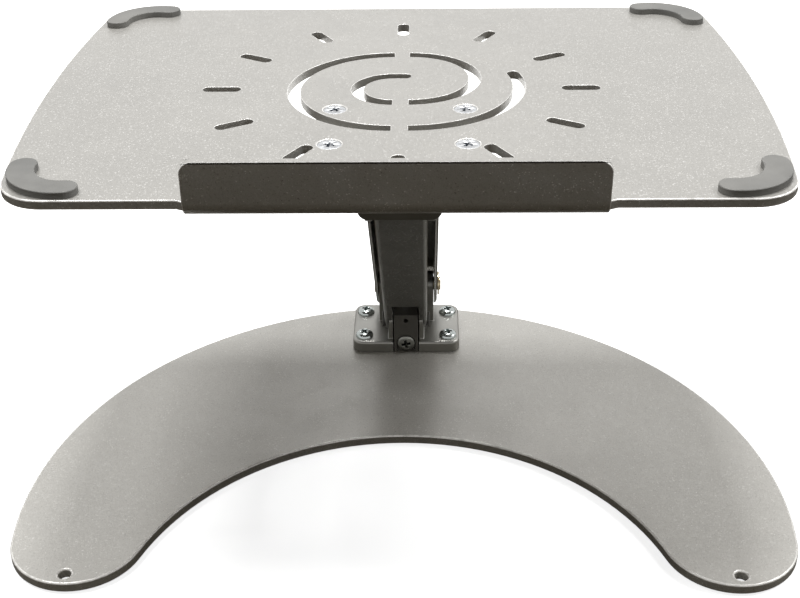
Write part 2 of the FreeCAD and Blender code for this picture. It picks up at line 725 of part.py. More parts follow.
spring_tube = in_spring_frame(cut(
    "spring_tube",
    cylinder("tube_out", "spring_tube_radius", "spring_tube_length", z="tube_low"),
    cylinder("tube_in", "spring_tube_radius - spring_tube_wall", "spring_tube_length",
             z="tube_low - spring_tube_wall * 2")))
eye_top = fused(
    "eye_top_solid",
    cross_pin("eye_top_out", "spring_eye_radius", "-spring_eye_width / 2", "spring_eye_width / 2",
              0, "spring_length"),
    cylinder("eye_top_neck", "spring_rod_radius", "spring_length - tube_low - spring_tube_length",
             z="tube_low + spring_tube_length"))
spring_top_eye = in_spring_frame(cut(
    "spring_top_eye", eye_top,
    cross_pin("eye_top_in", "spring_pin_radius + pin_fit", "-spring_eye_width", "spring_eye_width",
              0, "spring_length")))
spring_gland = in_spring_frame(cut(
    "spring_gland",
    cylinder("gland_out", "spring_tube_radius - spring_tube_wall", "gland_length", z="tube_low"),
    cylinder("gland_in", "spring_rod_radius + pin_fit", "gland_length + 2", z="tube_low - 1")))
PISTON_LOW = "tube_low + gland_length + 20"
ROD_LOW = "spring_eye_radius - 1"
spring_rod = in_spring_frame(
    cylinder("spring_rod", "spring_rod_radius", "%s - (%s)" % (PISTON_LOW, ROD_LOW)), ROD_LOW)
spring_piston = in_spring_frame(
    cylinder("spring_piston", "spring_tube_radius - spring_tube_wall - pin_fit", "piston_length"),
    PISTON_LOW)
spring_rod_eye = in_spring_frame(cut(
    "spring_rod_eye",
    cross_pin("eye_low_out", "spring_eye_radius", "-spring_eye_width / 2", "spring_eye_width / 2", 0, 0),
    cross_pin("eye_low_in", "spring_pin_radius + spring_eye_play - 1", "-spring_eye_width",
              "spring_eye_width", 0, 0),
    cylinder("eye_low_seat", "spring_rod_radius", "3", z=ROD_LOW)))

# ---------------------------------------------------------------- Spring adjuster
carriage = new_body("spring_carriage")
carriage_sketch = new_sketch(carriage, "carriage_side", "YZ_Plane")
outline(carriage_sketch, [
    ("carriage_y", "plate_top + side_clearance"),
    ("carriage_y + carriage_depth", "plate_top + side_clearance"),
    ("carriage_y + carriage_depth", "anchor_z", "carriage_depth / 2 + 0.01", 1),
    ("anchor_y", "anchor_z + carriage_depth / 2", "carriage_depth / 2 + 0.01", 1),
    ("carriage_y", "anchor_z"),
])
pad(carriage, carriage_sketch, "block_width", midplane=True)
clevis_sketch = new_sketch(carriage, "clevis_gap", "XZ_Plane")
clevis_half = "(spring_eye_width / 2 + side_clearance)"
outline(clevis_sketch, [
    ("-" + clevis_half, "anchor_z - spring_eye_radius - 2"), (clevis_half, "anchor_z - spring_eye_radius - 2"),
    (clevis_half, "anchor_z + spring_eye_radius + 2"), ("-" + clevis_half, "anchor_z + spring_eye_radius + 2"),
])
pocket(carriage, clevis_sketch)
anchor_hole = new_sketch(carriage, "anchor_hole", "YZ_Plane")
circle(anchor_hole, "anchor_y", "anchor_z", "spring_pin_radius - 1")
pocket(carriage, anchor_hole)
thread_hole = new_sketch(carriage, "thread_hole", "XZ_Plane")
circle(thread_hole, 0, "adjuster_z", "adjuster_radius + pin_fit")
pocket(carriage, thread_hole)
anchor_pin = cross_pin("spring_anchor_pin", "spring_pin_radius - 1", "-block_width / 2",
                       "block_width / 2", "anchor_y", "anchor_z")

block = new_body("tension_block")
block_sketch = new_sketch(block, "block_side", "YZ_Plane")
outline(block_sketch, [
    ("bracket_y_front", "plate_top"),
    ("bracket_y_front + block_thickness", "plate_top"),
    ("bracket_y_front + block_thickness", "plate_top + block_height + block_slope"),
    ("bracket_y_front", "plate_top + block_height"),
])
pad(block, block_sketch, "block_width", midplane=True)
arch_sketch = new_sketch(block, "block_arch", "XZ_Plane")
arch = "(adjuster_head_radius + side_clearance)"
outline(arch_sketch, [
    ("-" + arch, "plate_top - 1"), (arch, "plate_top - 1"), (arch, "adjuster_z", arch, 1),
    (0, "adjuster_z + " + arch, arch, 1), ("-" + arch, "adjuster_z"),
])
front_skin = "adjuster_head_length * 0.8"
pocket(block, arch_sketch, front_skin, "-bracket_y_front")
block_hole = new_sketch(block, "block_hole", "XZ_Plane")
circle(block_hole, 0, "adjuster_z", "adjuster_radius + pin_fit")
pocket(block, block_hole)
peep_sketch = new_sketch(block, "block_peep", "XZ_Plane")
circle(peep_sketch, 0, "plate_top + block_height - peep_hole_drop", "peep_hole_radius")
pocket(block, peep_sketch)

HEAD_BACK = "bracket_y_front + " + front_skin
adjuster = cut(
    "tension_screw",
    fused("adjuster_solid",
          cylinder("adjuster_head", "adjuster_head_radius", "adjuster_head_length",
                   0, HEAD_BACK, "adjuster_z", (1, 0, 0), 90),
          cylinder("adjuster_shank", "adjuster_radius", "carriage_y + carriage_depth - (%s)" % HEAD_BACK,
                   0, "carriage_y + carriage_depth", "adjuster_z", (1, 0, 0), 90)),
    hex_prism("adjuster_socket", "hex_socket_width + 1", "hex_socket_depth + 1.5",
              0, HEAD_BACK + " - adjuster_head_length + hex_socket_depth + 0.5", "adjuster_z",
              (1, 0, 0), 90))

# ---------------------------------------------------------------- Head bracket
head = new_body("head_bracket")
head_flange = new_sketch(head, "head_flange", "XY_Plane")
flange_margin = "(tray_screw_gap_along / 2 + head_flange_corner)"
outline(head_flange, rounded(("-head_flange_width / 2", "head_flange_width / 2"),
                             ("screws_y - " + flange_margin, "screws_y + " + flange_margin),
                             "head_flange_corner"))
pad(head, head_flange, "head_flange_thickness", "flange_under")
head_ears = new_sketch(head, "head_ears", "YZ_Plane")
outline(head_ears, [
    ("apron_y_inner", "flange_under + 1"),
    ("apron_y_inner", "head_front_z"),
    ("head_front_y - head_ear_radius", "head_front_z", "head_ear_radius", 1),
    ("head_front_y", "head_front_z - head_ear_radius", "head_ear_radius", 1),
    ("head_front_y + head_ear_radius", "head_front_z"),
    ("head_rear_y + head_ear_radius", "head_rear_z"),
    ("head_rear_y + head_ear_radius", "flange_under + 1"),
])
pad(head, head_ears, "2 * head_ear_outer", midplane=True)
head_gap = new_sketch(head, "head_gap", "XZ_Plane")
outline(head_gap, [
    ("-head_ear_inner", "head_front_z - head_ear_radius - 1"),
    ("head_ear_inner", "head_front_z - head_ear_radius - 1"),
    ("head_ear_inner", "flange_under"), ("-head_ear_inner", "flange_under"),
])
pocket(head, head_gap)
apron = new_sketch(head, "head_apron", "XZ_Plane")
outline(apron, rounded(("-head_apron_width / 2", "head_apron_width / 2"),
                       ("apron_z_low", "flange_under + 1"), "head_apron_corner", "0.4"))
pad(head, apron, "head_apron_thickness", "-apron_y_inner")
head_holes = new_sketch(head, "head_holes", "YZ_Plane")
circle(head_holes, "head_front_y", "head_front_z", "front_pin_radius")
circle(head_holes, "head_rear_y", "head_rear_z", "rear_pin_radius")
pocket(head, head_holes)
head_taps = new_sketch(head, "head_taps", "XY_Plane")
for side in (-1, 1):
    for along in (-1, 1):
        circle(head_taps, "%d * tray_screw_gap_across / 2" % side,
               "screws_y + %d * tray_screw_gap_along / 2" % along, "tray_screw_radius")
pocket(head, head_taps)

# ---------------------------------------------------------------- Tray
sheet_body = new_body("tray_sheet_body")
side_rise = "sqrt((tray_side_radius - tray_corner) ^ 2 - (%s) ^ 2)"
CORNER_BACK_Y = "(tray_y_back - tray_corner)"
CORNER_FRONT_Y = "(tray_y_front + tray_corner)"


def corner_x(corner_y):
    """Where a corner's centre lies, so that its arc touches the side's long arc."""
    return "(side_circle_x + " + side_rise % (corner_y + " - side_circle_y") + ")"


def touch_point(corner_y):
    """Where a corner's arc meets the side's long arc."""
    ratio = "tray_side_radius / (tray_side_radius - tray_corner)"
    x = "(side_circle_x + (%s - side_circle_x) * %s)" % (corner_x(corner_y), ratio)
    y = "(side_circle_y + (%s - side_circle_y) * %s)" % (corner_y, ratio)
    return x, y


back_x, back_y = touch_point(CORNER_BACK_Y)
front_x, front_y = touch_point(CORNER_FRONT_Y)
back_c, front_c = corner_x(CORNER_BACK_Y), corner_x(CORNER_FRONT_Y)
tray_outline = new_sketch(sheet_body, "tray_outline", "XY_Plane")
outline(tray_outline, [
    ("-" + front_c, "tray_y_front"),
    ("-lip_width / 2 - lip_relief", "tray_y_front"),
    ("-lip_width / 2", "lip_y + lip_outer_bend"),
    ("lip_width / 2", "lip_y + lip_outer_bend"),
    ("lip_width / 2 + lip_relief", "tray_y_front"),
    (front_c, "tray_y_front", "tray_corner", 1),
    (front_x, front_y, "tray_side_radius", 1),
    (back_x, back_y, "tray_corner", 1),
    (back_c, "tray_y_back"),
    ("-" + back_c, "tray_y_back", "tray_corner", 1),
    ("-" + back_x, back_y, "tray_side_radius", 1),
    ("-" + front_x, front_y, "tray_corner", 1),
])
pad(sheet_body, tray_outline, "tray_sheet", "tray_under")
lip_sketch = new_sketch(sheet_body, "lip_profile", "YZ_Plane")
LIP_TOP = "tray_top + lip_height"
outline(lip_sketch, [
    ("lip_y + lip_outer_bend + 0.5", "tray_under"),
    ("lip_y + lip_outer_bend + 0.5", "tray_top"),
    ("lip_y + lip_outer_bend", "tray_top", "lip_bend", -1),
    ("lip_y + tray_sheet", "tray_top + lip_bend"),
    ("lip_y + tray_sheet", LIP_TOP),
    ("lip_y", LIP_TOP),
    ("lip_y", "tray_under + lip_outer_bend", "lip_outer_bend", 1),
    ("lip_y + lip_outer_bend", "tray_under"),
])
pad(sheet_body, lip_sketch, "lip_width", midplane=True)
fillet(sheet_body, "lip_corner",
       lambda e: runs_along(e, (0, 1, 0)) and abs(e.CenterOfMass.z - value(LIP_TOP)) < 1e-4)


def half_ring(name, radius, side, centre_y, sweep=180, start=-90):
    """A vent cutter along part of a circle, on one side of the vents' bridge."""
    turn = start if side > 0 else start + 180
    x = "%d * vent_bridge / 2" % side
    low = "tray_under - 1"
    outer = cylinder(name + "_out", "%s + vent_width / 2" % radius, "tray_sheet + 2",
                     x, "sun_y + (%s)" % centre_y, low, (0, 0, 1), turn, sweep)
    inner = cylinder(name + "_in", "%s - vent_width / 2" % radius, "tray_sheet + 4",
                     x, "sun_y + (%s)" % centre_y, low + " - 1")
    return cut(name, outer, inner)


def vent_end(name, x, y):
    """The round end of a vent."""
    return cylinder(name, "vent_width / 2", "tray_sheet + 2", x, "sun_y + (%s)" % y, "tray_under - 1")


FIRST_Y = "first_ring_radius - first_ring_bottom"
SECOND_Y = "second_ring_radius - first_ring_bottom"
THIRD_Y = "third_ring_radius - third_ring_bottom"
FOURTH_Y = "fourth_ring_radius - third_ring_bottom"
BRIDGE_TOP = "(second_ring_radius * 2 - first_ring_bottom)"
first_top = "%s + first_ring_radius" % FIRST_Y
cutters = [
    half_ring("vent_first", "first_ring_radius", -1, FIRST_Y),
    box("vent_first_run", ("-vent_bridge / 2", "vent_bridge / 4"),
        ("sun_y + %s - vent_width / 2" % first_top, "sun_y + %s + vent_width / 2" % first_top),
        ("tray_under - 1", "tray_top + 1")),
    vent_end("vent_first_end", "vent_bridge / 4", first_top),
    half_ring("vent_second", "second_ring_radius", 1, SECOND_Y),
    half_ring("vent_third", "third_ring_radius", -1, THIRD_Y),
    half_ring("vent_fourth", "fourth_ring_radius", 1, FOURTH_Y, "90 + fourth_ring_rise"),
    vent_end("vent_fourth_end", "vent_bridge / 2 + fourth_ring_radius * cos(fourth_ring_rise)",
             "%s + fourth_ring_radius * sin(fourth_ring_rise)" % FOURTH_Y),
]
RAYS = 12
for ray in range(RAYS):
    turn = ray * 360 // RAYS
    run = "ray_length - vent_width"
    bar = doc.addObject("Part::Box", "ray_bar_%d" % ray)
    bind(bar, Length=run, Width="vent_width", Height="tray_sheet + 2")
    start = "(ray_circle_radius - (%s) / 2)" % run
    place(bar, "%s * cos(%d) + vent_width / 2 * sin(%d)" % (start, turn, turn),
          "sun_y + %s * sin(%d) - vent_width / 2 * cos(%d)" % (start, turn, turn),
          "tray_under - 1", (0, 0, 1), turn)
    cutters.append(bar)
    for end, sign in enumerate((-1, 1)):
        reach = "(ray_circle_radius + %d * (%s) / 2)" % (sign, run)
        cutters.append(vent_end("ray_end_%d%d" % (ray, end), "%s * cos(%d)" % (reach, turn),
                                "%s * sin(%d)" % (reach, turn)))
SINK = "(tray_screw_head_radius - tray_screw_radius)"
screw_places = [("%d * tray_screw_gap_across / 2" % side,
                 "screws_y + %d * tray_screw_gap_along / 2" % along)
                for side in (-1, 1) for along in (-1, 1)]
for number, (x, y) in enumerate(screw_places):
    cutters.append(cylinder("sink_hole_%d" % number, "tray_screw_radius + side_clearance",
                            "tray_sheet + 2", x, y, "tray_under - 1"))
    cutters.append(cone("sink_%d" % number, "tray_screw_radius", "tray_screw_head_radius", SINK,
                        x, y, "tray_top - %s" % SINK))
tray = cut("tray", sheet_body, *cutters)


def countersunk_screw(name, x, y):
    """A countersunk screw with a cross recess, its head just under the tray's face."""
    head_cone = cone(name + "_head", "tray_screw_radius - sink_play",
                     "tray_screw_head_radius - sink_play", SINK, x, y, "tray_top - %s" % SINK)
    shank = cylinder(name + "_shank", "tray_screw_radius", "tray_screw_length - %s" % SINK,
                     x, y, "tray_top - tray_screw_length")
    bars = [box(name + "_recess_%d" % turn,
                ("%s - %s" % (x, long if turn else short), "%s + %s" % (x, long if turn else short)),
                ("%s - %s" % (y, short if turn else long), "%s + %s" % (y, short if turn else long)),
                ("tray_top - tray_screw_radius * 0.6", "tray_top + 1"))
            for turn in (0, 1)
            for long, short in [("tray_screw_radius * 0.95", "tray_screw_radius * 0.2")]]
    return cut(name, fused(name + "_solid", head_cone, shank), *bars)


tray_screws = group("tray_screws", *[
    countersunk_screw("tray_screw_%d" % number, x, y)
    for number, (x, y) in enumerate(screw_places)])


# ---------------------------------------------------------------- Corner pads
def corner_pad(name, side, end):
    """A bent rubber pad with round ends that hugs a corner; a rear one reaches along the back."""
    body = new_body(name)
    sketch = new_sketch(body, name + "_outline", "XY_Plane")
    outer, inner = "(pad_bend_radius + pad_band / 2)", "(pad_bend_radius - pad_band / 2)"
    half = "(pad_sweep / 2)"
    outline(sketch, [
        ("%s * cos(%s)" % (outer, half), "%s * sin(%s)" % (outer, half), "pad_band / 2 + 0.001", 1),
        ("%s * cos(%s)" % (inner, half), "%s * sin(%s)" % (inner, half), inner, -1),
        ("%s * cos(%s)" % (inner, half), "-%s * sin(%s)" % (inner, half), "pad_band / 2 + 0.001", 1),
        ("%s * cos(%s)" % (outer, half), "-%s * sin(%s)" % (outer, half), outer, 1),
    ])
    pad(body, sketch, "pad_thickness")
    fillet(body, "pad_rounding",
           lambda e: lies_at_height(e, "pad_thickness"))
    swing = side if end > 0 else 0
    turn = "%s + %d * rear_pad_swing" % (math.degrees(math.atan2(end, side)), swing)
    x = "%d * (tray_half_width - pad_side_gap - %s)" % (side, outer)
    edge = "tray_y_back" if end > 0 else "tray_y_front"
    y = "%s - %d * (pad_edge_gap + %s)" % (edge, end, outer)
    return place(body, x, y, "tray_top", (0, 0, 1), turn)


pads = [corner_pad("corner_pad_%s_%s" % (end_name, side_name), side, end)
        for end_name, end in (("front", -1), ("rear", 1))
        for side_name, side in (("left", -1), ("right", 1))]

# ---------------------------------------------------------------- Writing
NODES = [plate, feet, bracket, bracket_screws, front_link, rear_link, front_bushes, rear_bushes,
         front_lower_pin, rear_lower_pin, rear_lower_ring, front_upper_pin, rear_upper_pin,
         rear_upper_ring, spring_pin, spacers, spring_tube, spring_top_eye, spring_gland,
         spring_rod, spring_piston, spring_rod_eye, carriage, anchor_pin, block, adjuster,
         head, tray, tray_screws] + pads

doc.recompute()
for thing in doc.Objects:
    if "Invalid" in thing.State or "Error" in thing.State:
        raise RuntimeError("%s failed: %s" % (thing.Name, thing.State))
for node in NODES:
    node.Label = node.Name
    if node.Shape.isNull() or not node.Shape.isValid():
        raise RuntimeError(node.Name + " has no valid shape")

os.makedirs("parts", exist_ok=True)
for node in NODES:
    node.Shape.exportStep("parts/%s.step" % node.Name)
    print("%-24s %9.1f mm3  %d solids" % (node.Name, node.Shape.Volume, len(node.Shape.Solids)))
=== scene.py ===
"""A height-adjustable notebook stand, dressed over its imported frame.

The crescent plate, the bracket, the two pressed links, the head, the tray, the pins and
the gas spring's ends are rounded copies of the frame's own solids. Screws and feet are laid
out by Geometry Nodes. The rubber pads, the bushes and a few small parts stay the frame's
own nodes, with a finish.
All sizes are in metres in the stand's own frame: +Z up, -Y towards the user.
"""

import logging
import math
from dataclasses import dataclass
from enum import Enum
from typing import Callable, Sequence

import bmesh
import bpy
from mathutils import Matrix, Vector


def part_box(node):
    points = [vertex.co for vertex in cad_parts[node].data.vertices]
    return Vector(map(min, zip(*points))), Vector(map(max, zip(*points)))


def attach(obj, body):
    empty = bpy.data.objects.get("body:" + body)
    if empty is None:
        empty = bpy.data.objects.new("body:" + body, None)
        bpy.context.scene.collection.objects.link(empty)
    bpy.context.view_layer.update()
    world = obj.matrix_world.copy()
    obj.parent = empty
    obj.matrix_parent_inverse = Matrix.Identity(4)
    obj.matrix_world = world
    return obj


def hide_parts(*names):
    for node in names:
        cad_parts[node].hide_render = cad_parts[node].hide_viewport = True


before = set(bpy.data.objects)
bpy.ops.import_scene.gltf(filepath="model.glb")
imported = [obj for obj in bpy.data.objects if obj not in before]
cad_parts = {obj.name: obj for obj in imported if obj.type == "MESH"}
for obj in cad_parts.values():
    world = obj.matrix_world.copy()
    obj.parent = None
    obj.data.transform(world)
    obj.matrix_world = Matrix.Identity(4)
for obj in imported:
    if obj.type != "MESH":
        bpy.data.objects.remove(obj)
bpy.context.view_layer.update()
LOG = logging.getLogger("stand")
MM = 0.001
SHARP_ANGLE = math.radians(28.0)  # edges that bend more than this are rounded
SEAM = 2e-6  # corners nearer to each other than this are one
SLIVER = 1e-6  # edges shorter than this are dropped
FLAT_ANGLE = math.radians(0.6)  # faces that bend less than this are joined
PIN_EDGE, LARGE_PIN_EDGE, RING_EDGE = 0.25 * MM, 0.3 * MM, 0.15 * MM
FLOAT, COLOUR = "NodeSocketFloat", "NodeSocketColor"
Colour = tuple[float, float, float]
Point = tuple[float, float, float]
Tree = bpy.types.NodeTree
Socket = bpy.types.NodeSocket
Node = bpy.types.Node
Piece = bpy.types.Object


# ---------------------------------------------------------------- Node helpers
def link(tree: Tree, source: Socket, target: Socket) -> None:
    """Joins two sockets of a tree."""
    tree.links.new(source, target)


def feed(tree: Tree, source: object, socket: Socket) -> None:
    """Links a source to a socket, or sets the socket when the source is a constant.

    Args:
        tree: The tree of the socket.
        source: A socket, a number or a colour.
        socket: The socket that takes it.
    """
    if isinstance(source, Socket):
        link(tree, source, socket)
    else:
        socket.default_value = (*source, 1) if isinstance(source, tuple) else source


def object_place(tree: Tree) -> Socket:
    """Returns the socket of the place on the piece, in its own coordinates."""
    return tree.nodes.new("ShaderNodeTexCoord").outputs["Object"]


def math_node(tree: Tree, operation: str, first: object, second: object) -> Socket:
    """Adds a Math node.

    Args:
        tree: The tree that takes the node.
        operation: The node's operation, such as MULTIPLY.
        first: A socket or a number.
        second: A socket or a number.

    Returns:
        The node's output.
    """
    node = tree.nodes.new("ShaderNodeMath")
    node.operation = operation
    for source, socket in zip((first, second), node.inputs):
        feed(tree, source, socket)
    return node.outputs[0]


def span(tree: Tree, source: Socket, low: float, high: float, to_low: float = 0.0,
         to_high: float = 1.0) -> Socket:
    """Maps a value from one range to another, clamped.

    Args:
        tree: The tree that takes the node.
        source: The value.
        low: The value that gives to_low.
        high: The value that gives to_high.
        to_low: The result at low.
        to_high: The result at high.

    Returns:
        The mapped value's socket.
    """
    node = tree.nodes.new("ShaderNodeMapRange")
    for name, value in (("Value", source), ("From Min", low), ("From Max", high), ("To Min", to_low),
                        ("To Max", to_high)):
        feed(tree, value, node.inputs[name])
    return node.outputs["Result"]


def mixed(tree: Tree, share: object, first: object, second: object) -> Socket:
    """Mixes two colours.

    Args:
        tree: The tree that takes the node.
        share: The second colour's share, a socket or a number.
        first: A colour or a socket.
        second: A colour or a socket.

    Returns:
        The mixed colour's socket.
    """
    node = tree.nodes.new("ShaderNodeMix")
    node.data_type = "RGBA"
    for index, source in ((0, share), (6, first), (7, second)):
        feed(tree, source, node.inputs[index])
    return node.outputs[2]


def noise(tree: Tree, place: Socket, scale: object, detail: float) -> Socket:
    """Adds a noise texture.

    Args:
        tree: The tree that takes the node.
        place: Where the noise is read.
        scale: A socket or a number.
        detail: How many finer layers it has.

    Returns:
        The noise value's socket.
    """
    node = tree.nodes.new("ShaderNodeTexNoise")
    for name, value in (("Vector", place), ("Scale", scale), ("Detail", detail)):
        feed(tree, value, node.inputs[name])
    return node.outputs[0]


@dataclass(frozen=True)
class Cloud:
    """A noise that is spread to a share between floor and 1."""

    scale: float
    detail: float
    low: float
    high: float
    floor: float = 0.0

    def share(self, tree: Tree, place: Socket) -> Socket:
        """Adds the noise and its spread.

        Args:
            tree: The tree that takes the nodes.
            place: Where the noise is read.

        Returns:
            The share's socket.
        """
        return span(tree, noise(tree, place, self.scale, self.detail), self.low, self.high, self.floor)


MOTTLE = Cloud(38.0, 4.0, 0.35, 0.65)
FLAKE_SKIN = Cloud(900.0, 2.0, 0.3, 0.7)
WORN_PATCHES = Cloud(260.0, 4.0, 0.3, 0.62, floor=0.35)
DUST_CLOUDS = Cloud(17.0, 6.0, 0.45, 0.75)
FINGER_MARKS = Cloud(55.0, 5.0, 0.5, 0.7)
STAINS = Cloud(320.0, 4.0, 0.35, 0.7)
PAINT_TONE = Cloud(60.0, 5.0, 0.3, 0.7)
RUBBER_TONE = Cloud(120.0, 6.0, 0.3, 0.72)
DUST_COLOUR: Colour = (0.6, 0.58, 0.54)


def shader_group(name: str, colours: Sequence[str], numbers: Sequence[str],
                 results: Sequence[str]) -> tuple[Tree, dict[str, Socket], dict[str, Socket]]:
    """Starts a shader node group.

    Args:
        name: The group's name.
        colours: The inputs that take a colour.
        numbers: The inputs that take a number.
        results: The outputs. One named Colour is a colour, the rest are numbers.

    Returns:
        The tree, its inputs' sockets by name, and the sockets that its outputs take, by name.
    """
    tree = bpy.data.node_groups.new(name, "ShaderNodeTree")
    for labels, kind in ((colours, COLOUR), (numbers, FLOAT)):
        for label in labels:
            tree.interface.new_socket(label, in_out="INPUT", socket_type=kind)
    for label in results:
        kind = COLOUR if label == "Colour" else FLOAT
        tree.interface.new_socket(label, in_out="OUTPUT", socket_type=kind)
    start, end = tree.nodes.new("NodeGroupInput"), tree.nodes.new("NodeGroupOutput")
    return tree, {s.name: s for s in start.outputs if s.name}, {s.name: s for s in end.inputs if s.name}


def flake_coat_group() -> Tree:
    """Builds the metallic flake effect: fine bright and dark grains over a slow mottle.

    Returns:
        The group, with the outputs Colour, Roughness and Height.
    """
    tree, given, wanted = shader_group(
        "flake_coat", ("Base", "Bright", "Dark"),
        ("Flake Scale", "Bright Share", "Grain", "Mottle", "Roughness"), ("Colour", "Roughness", "Height"))
    dull_from, dull_to = 0.35, 0.0
    gloss_spread, flake_gloss, flake_relief = 0.12, 0.08, 0.35
    place = object_place(tree)
    flakes = tree.nodes.new("ShaderNodeTexVoronoi")
    link(tree, place, flakes.inputs["Vector"])
    link(tree, given["Flake Scale"], flakes.inputs["Scale"])
    pick = tree.nodes.new("ShaderNodeSeparateColor")
    link(tree, flakes.outputs["Color"], pick.inputs[0])
    bright = math_node(tree, "GREATER_THAN", pick.outputs[0],
                       math_node(tree, "SUBTRACT", 1.0, given["Bright Share"]))
    dull = span(tree, pick.outputs[1], dull_from, dull_to)
    slow, fine = MOTTLE.share(tree, place), FLAKE_SKIN.share(tree, place)
    colour = given["Base"]
    for mask, amount, tone in ((dull, "Grain", "Dark"), (slow, "Mottle", "Dark"),
                               (bright, "Grain", "Bright")):
        share = math_node(tree, "MULTIPLY", mask, given[amount])
        colour = mixed(tree, share, colour, given[tone])
    link(tree, colour, wanted["Colour"])
    spread = math_node(tree, "MULTIPLY", math_node(tree, "SUBTRACT", fine, 0.5), gloss_spread)
    rough = math_node(tree, "ADD", given["Roughness"], spread)
    glint = math_node(tree, "MULTIPLY", bright, flake_gloss)
    link(tree, math_node(tree, "SUBTRACT", rough, glint), wanted["Roughness"])
    grit = math_node(tree, "MULTIPLY", pick.outputs[2], flake_relief)
    link(tree, math_node(tree, "ADD", fine, grit), wanted["Height"])
    return tree


def edge_wear_and_highlight_group() -> Tree:
    """Builds the rounded edges' effect: a thinner, lighter coat in broken patches, which on the powder
    coats is also a painted highlight.

    Returns:
        The group, with the output Colour.
    """
    tree, given, wanted = shader_group("edge_wear_and_highlight", ("Colour", "Edge Colour"), ("Amount",), ("Colour",))
    rim = tree.nodes.new("ShaderNodeAttribute")
    rim.attribute_name = "rim"
    # Broken patches along the rim: worn paint, and a painted highlight where the edge colour is lighter
    # than the coat.
    broken = math_node(tree, "MULTIPLY", rim.outputs["Fac"], WORN_PATCHES.share(tree, object_place(tree)))
    mask = math_node(tree, "MULTIPLY", broken, given["Amount"])
    link(tree, mixed(tree, mask, given["Colour"], given["Edge Colour"]), wanted["Colour"])
    return tree


def handling_group() -> Tree:
    """Builds the dust and finger marks that change a surface's gloss and colour a little.

    Returns:
        The group, with the outputs Colour and Roughness.
    """
    tree, given, wanted = shader_group("handling", ("Colour", "Dust Colour"),
                                       ("Roughness", "Dust", "Marks"), ("Colour", "Roughness"))
    place = object_place(tree)
    share = math_node(tree, "MULTIPLY", DUST_CLOUDS.share(tree, place), given["Dust"])
    link(tree, mixed(tree, share, given["Colour"], given["Dust Colour"]), wanted["Colour"])
    smears = math_node(tree, "MULTIPLY", FINGER_MARKS.share(tree, place), given["Marks"])
    link(tree, math_node(tree, "ADD", given["Roughness"], smears), wanted["Roughness"])
    return tree


def turned_group() -> Tree:
    """Builds the fine rings that a lathe leaves, as a height and a colour value.

    Returns:
        The group, with the outputs Height and Tone.
    """
    tree, given, wanted = shader_group("turned", (), ("Scale", "Tone"), ("Height", "Tone"))
    ring_detail, along_rings = 2.0, 0.12
    place = object_place(tree)
    squeeze = tree.nodes.new("ShaderNodeMapping")
    squeeze.inputs["Scale"].default_value = (1.0, along_rings, along_rings)
    link(tree, place, squeeze.inputs["Vector"])
    link(tree, noise(tree, squeeze.outputs[0], given["Scale"], ring_detail), wanted["Height"])
    link(tree, math_node(tree, "MULTIPLY", STAINS.share(tree, place), given["Tone"]), wanted["Tone"])
    return tree


class Effect(Enum):
    """The shared shader effects."""

    FLAKE = "flake"
    EDGE = "edge"
    HANDLING = "handling"
    TURNED = "turned"


BUILDERS: dict[Effect, Callable[[], Tree]] = {
    Effect.FLAKE: flake_coat_group, Effect.EDGE: edge_wear_and_highlight_group,
    Effect.HANDLING: handling_group, Effect.TURNED: turned_group}
BUILT: dict[Effect, Tree] = {}


def place_effect(tree: Tree, effect: Effect, **values: object) -> Node:
    """Places a shared effect in a material.

    Args:
        tree: The material's tree.
        effect: Which effect.
        values: Inputs by name, with _ for a space: a socket, a number or a colour.

    Returns:
        The group node.
    """
    if effect not in BUILT:
        BUILT[effect] = BUILDERS[effect]()
    node = tree.nodes.new("ShaderNodeGroup")
    node.node_tree = BUILT[effect]
    for name, value in values.items():
        feed(tree, value, node.inputs[name.replace("_", " ")])
    return node


# ---------------------------------------------------------------- Finishes
def new_material(name: str) -> tuple[bpy.types.Material, Tree, Node]:
    """Starts a material.

    Args:
        name: Its name.

    Returns:
        The material, its tree and its Principled shader.
    """
    material = bpy.data.materials.new(name)
    material.use_nodes = True
    tree = material.node_tree
    return material, tree, tree.nodes["Principled BSDF"]


def raise_normal(tree: Tree, shader: Node, height: Socket, distance: float, strength: float) -> None:
    """Feeds a height into the shader's normal through a Bump node.

    Args:
        tree: The material's tree.
        shader: Its Principled shader.
        height: The height, from 0 to about 1.
        distance: How high a height of 1 stands.
        strength: The share of the bump that is kept.
    """
    bump = tree.nodes.new("ShaderNodeBump")
    bump.inputs["Distance"].default_value = distance
    bump.inputs["Strength"].default_value = strength
    link(tree, height, bump.inputs["Height"])
    link(tree, bump.outputs[0], shader.inputs["Normal"])


def handled(tree: Tree, shader: Node, colour: object, roughness: object, dust: float,
            marks: float) -> Socket:
    """Adds dust and finger marks and drives the shader's roughness.

    Args:
        tree: The material's tree.
        shader: Its Principled shader.
        colour: The clean colour, a socket or a colour.
        roughness: The clean roughness, a socket or a number.
        dust: The share of dust in the thickest cloud.
        marks: How much rougher a finger mark is.

    Returns:
        The handled colour's socket.
    """
    node = place_effect(tree, Effect.HANDLING, Colour=colour, Roughness=roughness,
                        Dust_Colour=DUST_COLOUR, Dust=dust, Marks=marks)
    link(tree, node.outputs["Roughness"], shader.inputs["Roughness"])
    return node.outputs["Colour"]


def wear_and_highlight_edges(tree: Tree, shader: Node, colour: Socket, edge_colour: Colour, amount: float) -> None:
    """Gives the shader a colour that changes to another one at the rounded edges: worn paint, and a painted
    highlight where the edge colour is lighter.

    Args:
        tree: The material's tree.
        shader: Its Principled shader.
        colour: The colour away from the edges.
        edge_colour: The colour of a worn edge, and of the painted highlight where it is lighter.
        amount: The edge colour's largest share.
    """
    edges = place_effect(tree, Effect.EDGE, Colour=colour, Edge_Colour=edge_colour, Amount=amount)
    link(tree, edges.outputs["Colour"], shader.inputs["Base Color"])


